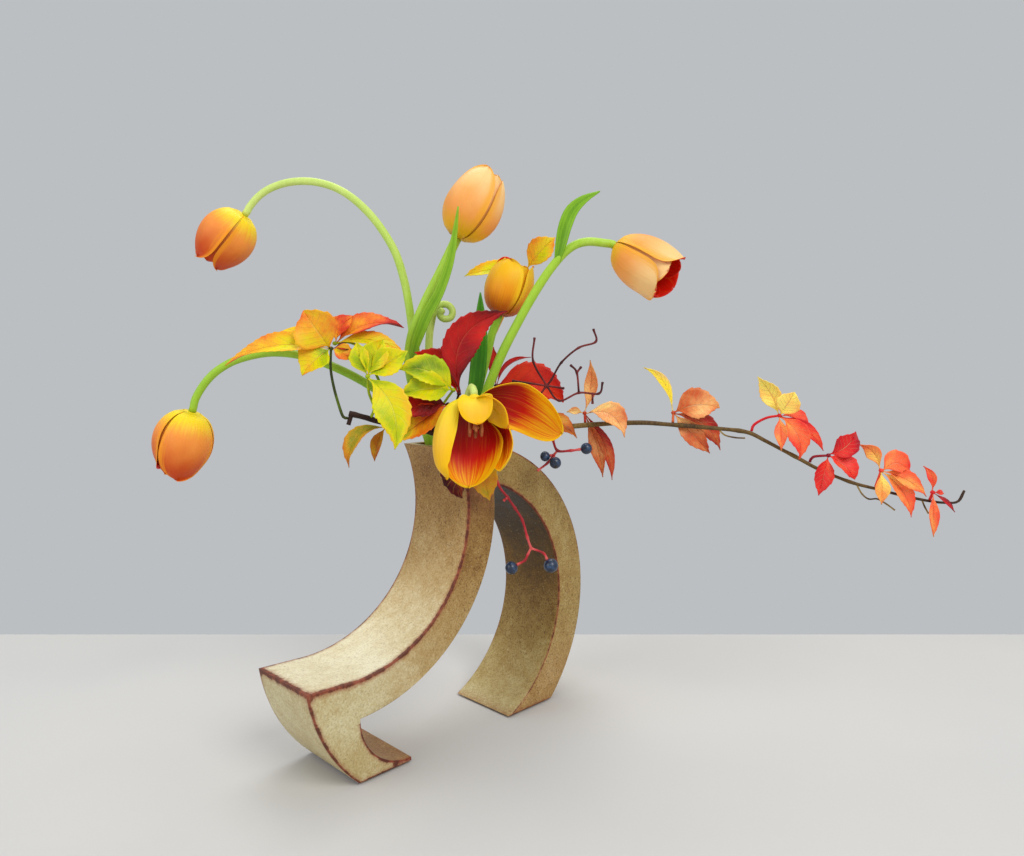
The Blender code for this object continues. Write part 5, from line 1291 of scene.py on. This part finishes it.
def make_open_bloom():
    base = TULIPS["front"]["base"]
    side, other, axis = axes_of(TULIPS["front"]["axis"])
    bloom = Piece()
    rows = np.linspace(RECEPTACLE[0][0], RECEPTACLE[-1][0], 9)
    add_tube(bloom, base + np.outer(rows, axis), curve_through(RECEPTACLE, rows), sides=20,
             seed=1, tone=0.2)
    for number, petal in enumerate(OPEN_PETALS.values()):
        add_open_petal(bloom, *petal, number)
    bloom.finish("tulip_bloom_front", "petal_deep")

    def around(share):
        """A direction off the axis, at a share of a full turn about it."""
        angle = math.tau * share
        return side * math.cos(angle) + other * math.sin(angle)

    stamens = Piece()
    disc = np.array(STAMEN_DISC)
    start = base + axis * disc[0, 0]
    add_tube(stamens, base + np.outer(disc[:, 0], axis), disc[:, 1], sides=16, seed=0, tone=0.0)
    pistil = np.linspace(1, PISTIL_LENGTH, 8)
    add_tube(stamens, start + np.outer(pistil, axis), 1.6 + 0.25 * np.sin(pistil / 5), sides=12,
             seed=1, tone=0.0)
    for i in range(3):
        lobe = start + axis * PISTIL_LENGTH + STIGMA_RADIUS * around(i / 3)
        add_ball(stamens, lobe, STIGMA_RADIUS, axis, squash=0.8, seed=i, tone=0.3, rings=8,
                 sides=10)
    for i in range(STAMEN_COUNT):
        out = around((i + 0.5) / STAMEN_COUNT)
        root = start + axis + out * 2
        bend = root + axis * STAMEN_LENGTH * 0.5 + out * 2.4
        tip = root + axis * STAMEN_LENGTH + out * 3.2
        path = smooth_path([root, bend, tip], 1.2)
        rows = np.linspace(0, 1, len(path))
        anther = smoothstep(0.38, 0.5, rows)
        radii = 0.8 * (1 - 0.35 * smoothstep(0, 0.42, rows)) + anther * 0.9
        radii = radii * (1 - 0.4 * smoothstep(0.9, 1, rows))
        add_tube(stamens, path, radii, sides=10, seed=i, tone=anther, waviness=0.08)
    stamens.finish("tulip_stamens", "stamen")


# ---------------------------------------------------------------- creeper


def add_stalk(piece, points, radius, seed, knots=0.35, sides=12):
    """A thin stalk that bends at the given points and is a little thicker there."""
    corners = np.array(points, float)
    bent = len(corners) > 2
    path = smooth_path(corners, STALK_SPACING) if bent else np.linspace(*corners, 8)
    away = np.linalg.norm(path[:, None] - corners[None], axis=2).min(1)
    radii = radius * (0.9 + knots * bell(away, 1.6 * radius))
    tone = 0.5 + 0.3 * np.sin(np.linspace(0, 7, len(path)) + seed)
    add_tube(piece, path, radii, sides, seed, tone, round_start=True)


def knotted(length, every, width):
    """1 at a knot and 0 away from it, with knots at even distances along a stem."""
    return bell(length % every - every // 2, width)


def make_vine_and_twig():
    """Make the creeper's stems; returns the path and radii of each that carries leaves."""
    path, radii = stem_course(VINE, VINE_SPACING)
    carriers = {"vine": (path, radii)}
    length = np.arange(len(path)) * VINE_SPACING
    light = np.linspace(0.62, 0.10, len(path)) + 0.15 * np.sin(length / 40)
    vine = Piece()
    add_tube(vine, path, radii * (1 + 0.22 * knotted(length, 46, 3.5)), sides=18, seed=1,
             tone=light, waviness=0.05)
    for number, tendril in enumerate(TENDRILS):
        add_stalk(vine, tendril, TENDRIL_RADIUS, number, knots=0.1, sides=10)
    vine.finish("creeper_vine", "vine")
    path, radii = stem_course(TWIG, TWIG_SPACING)
    carriers["twig"] = (path, radii)
    length = np.arange(len(path)) * TWIG_SPACING
    twig = Piece()
    add_tube(twig, path, radii * (1 + 0.2 * knotted(length, 31, 3)), sides=18, seed=2,
             tone=0.35 + 0.2 * np.sin(length / 17), round_end=False, waviness=0.07)
    add_tube(twig, smooth_path(TWIG_STUB, STALK_SPACING), TWIG_STUB_RADIUS, sides=14, seed=4,
             tone=0.3, round_end=False, waviness=0.06)
    twig.finish("creeper_twig", "bark")
    carriers["stub"] = (np.array(TWIG_STUB, float), np.full(2, TWIG_STUB_RADIUS))
    return carriers


def seat(carrier, place):
    """The point just off the side of a round carrier that is nearest to a place."""
    path, radii = carrier
    step = path[1:] - path[:-1]
    share = np.clip(((place - path[:-1]) * step).sum(1) / (step ** 2).sum(1), 0, 1)
    nearest = path[:-1] + step * share[:, None]
    away = np.linalg.norm(place - nearest, axis=1)
    i = np.argmin(away)
    radius = radii[i] + (radii[i + 1] - radii[i]) * share[i]
    return nearest[i] + (place - nearest[i]) / away[i] * (radius + GAP)


def add_leaflet(piece, joint, leaflet, draw, seed):
    """One toothed leaflet from the leaf's joint to its tip."""
    tip, width, facing, arch, sway, ripeness = leaflet
    along = unit(tip - joint)
    start = joint + along * JOINT_RADIUS * ROOT_DEPTH
    facing = unit(facing)
    up = unit(facing - along * facing.dot(along))
    right = np.cross(along, up)
    length = float(np.linalg.norm(tip - start))
    broad = width > NARROW_WIDTH
    share = np.linspace(0, 1, int(np.clip(length * 1.1, 26, 64)))
    columns = np.array(LEAF_COLUMNS)
    rows, reach = share[:, None], np.abs(columns)
    wander = draw.uniform(-1, 1, 6)
    spine = (start + np.outer(share, tip - start)
             + np.outer(4 * share * (1 - share), arch * up + sway * right))
    outline = curve_through(BROAD_OUTLINE if broad else NARROW_OUTLINE, rows)
    half = width / 2 * np.maximum(outline, 0.03)
    # teeth along the margin, slanting towards the tip and smaller near both ends
    teeth = max(4, round(length / (5.2 if broad else 4.5)))
    notch = ((rows * teeth % 1.0) ** 1.4) * smoothstep(0.2, 0.34, rows) * smoothstep(1.0, 0.9, rows)
    widths = half + reach ** 8 * notch * (0.05 if broad else 0.02) * width
    # a shallow V, bulges between the side veins, a wavy margin and a sunken midrib
    quilt = np.cos((rows * SIDE_VEINS - reach * VEIN_SLANT) * math.tau)
    relief = (reach * width * 0.05 * (1 + 0.5 * wander[0])
              - 0.16 * quilt * np.sin(math.pi * reach) * smoothstep(0.0, 0.2, rows)
              + reach ** 2 * width * 0.05 * np.sin(rows * 8 + wander[1] * 3
                                                   + np.sign(columns) * 1.3)
              - 0.35 * bell(columns, 0.07)) * np.minimum(1, half / 2)
    jut = reach * (0.05 if broad else 0.03) * width * outline
    twist = 0.16 * wander[2] * share + 0.08 * wander[3] * np.sin(share * 5)
    face = blade_grid(spine, widths, right, LEAFLET_CURL * (1 + 0.3 * wander[4]), columns, relief,
                      jut, twist)
    tone = (np.interp(rows, np.linspace(0, 1, len(ripeness)), ripeness)
            + 0.07 * np.sin(rows * 6 + 3 * wander[5] + columns * 2))
    thin = LEAFLET_THICKNESS * 0.75 * (1 - 0.5 * reach ** 3)
    add_sheet(piece, face, thin, share, columns, seed, np.clip(tone, 0, 1),
              np.clip(tone - 0.06, 0, 1))


def make_leaves(carriers):
    for number, (name, leaf) in enumerate(LEAVES.items()):
        finish, joint, carrier, stalk_tone, petiole, leaflets = leaf
        draw = np.random.default_rng(FIRST_LEAF_SEED + number)
        path = np.array([*petiole, joint], float)
        if carrier:
            path = np.vstack([seat(carriers[carrier], path[0]), path])
        piece = Piece()
        way = smooth_path(path, PETIOLE_SPACING)
        add_tube(piece, way, np.linspace(*PETIOLE_RADII, len(way)), sides=12, seed=number,
                 tone=stalk_tone)
        add_ball(piece, path[-1], JOINT_RADIUS * 0.85, (0, 0, 1), squash=0.9, seed=number,
                 tone=stalk_tone, rings=8, sides=12)
        for i, leaflet in enumerate(leaflets):
            add_leaflet(piece, path[-1], leaflet, draw, number * 6 + i)
        piece.finish(name, finish)


def make_berries(carriers):
    for number, (name, (finish, radius, runs)) in enumerate(STALKS.items()):
        stalks = Piece()
        first = seat(carriers["vine"], runs[0][0])
        add_stalk(stalks, [first, *runs[0]], radius, number)
        for i, run in enumerate(runs[1:]):
            add_stalk(stalks, run, radius * 0.92, number + i * 0.7)
        stalks.finish(name, finish)
    for number, (name, (carrier, index, radius)) in enumerate(BERRIES.items()):
        before, end = np.array(STALKS[carrier][2][index][-2:], float)
        axis = unit(end - before)
        fruit = Piece()
        add_ball(fruit, end + axis * (radius + GAP), radius, axis, squash=0.96, seed=number,
                 tone=0.0, rings=18, sides=26)
        fruit.finish(name, "berry")


# ---------------------------------------------------------------- the studio


def add_light(name, place, size, power, colour):
    light = bpy.data.lights.new(name, "AREA")
    light.shape = "DISK"
    light.size = size
    light.energy = power
    light.color = colour
    made = bpy.data.objects.new(name, light)
    made.location = place
    toward = Vector(LIGHT_TARGET) - Vector(place)
    made.rotation_euler = toward.to_track_quat("-Z", "Y").to_euler()
    bpy.context.scene.collection.objects.link(made)


def make_floor():
    """A plain pale table top, with its far edge a little behind the vase."""
    (left, near), (right, far) = FLOOR_CORNERS
    corners = np.array([(left, near, 0), (right, near, 0), (right, far, 0), (left, far, 0)])
    floor = new_object("floor", corners, [(0, 1, 2, 3)])
    f = Finish("floor", 0.8)
    cloth = f.noise(0.4, 4.0, 0.6)
    wash = f.mix(f.noise(0.004, 2.0), FLOOR_COLOURS[0], FLOOR_COLOURS[1])
    floor.data.materials.append(f.made(f.layer(wash, cloth, 0.1, FLOOR_COLOURS[2]), cloth, 0.08))


def make_studio():
    make_floor()
    scene = bpy.context.scene
    world = bpy.data.worlds.new("studio")
    world.use_nodes = True
    background = world.node_tree.nodes["Background"]
    background.inputs["Color"].default_value = (*WORLD_COLOUR, 1)
    background.inputs["Strength"].default_value = 1.0
    scene.world = world
    scene.view_settings.view_transform = "Standard"
    for light in LIGHTS:
        add_light(*light)
    camera = bpy.data.objects.new("camera", bpy.data.cameras.new("camera"))
    camera.data.lens = CAMERA_LENS
    camera.data.sensor_width = CAMERA_SENSOR
    camera.data.clip_start = 0.01
    camera.location = np.array(CAMERA_PLACE) * MM + SHIFT
    camera.rotation_euler = (math.radians(90 - CAMERA_DIP), 0, 0)
    scene.collection.objects.link(camera)
    scene.camera = camera


def main():
    make_vase()
    keep_solids()
    make_stems()
    make_closed_blooms()
    make_open_bloom()
    carriers = make_vine_and_twig()
    make_leaves(carriers)
    make_berries(carriers)
    make_studio()


main()
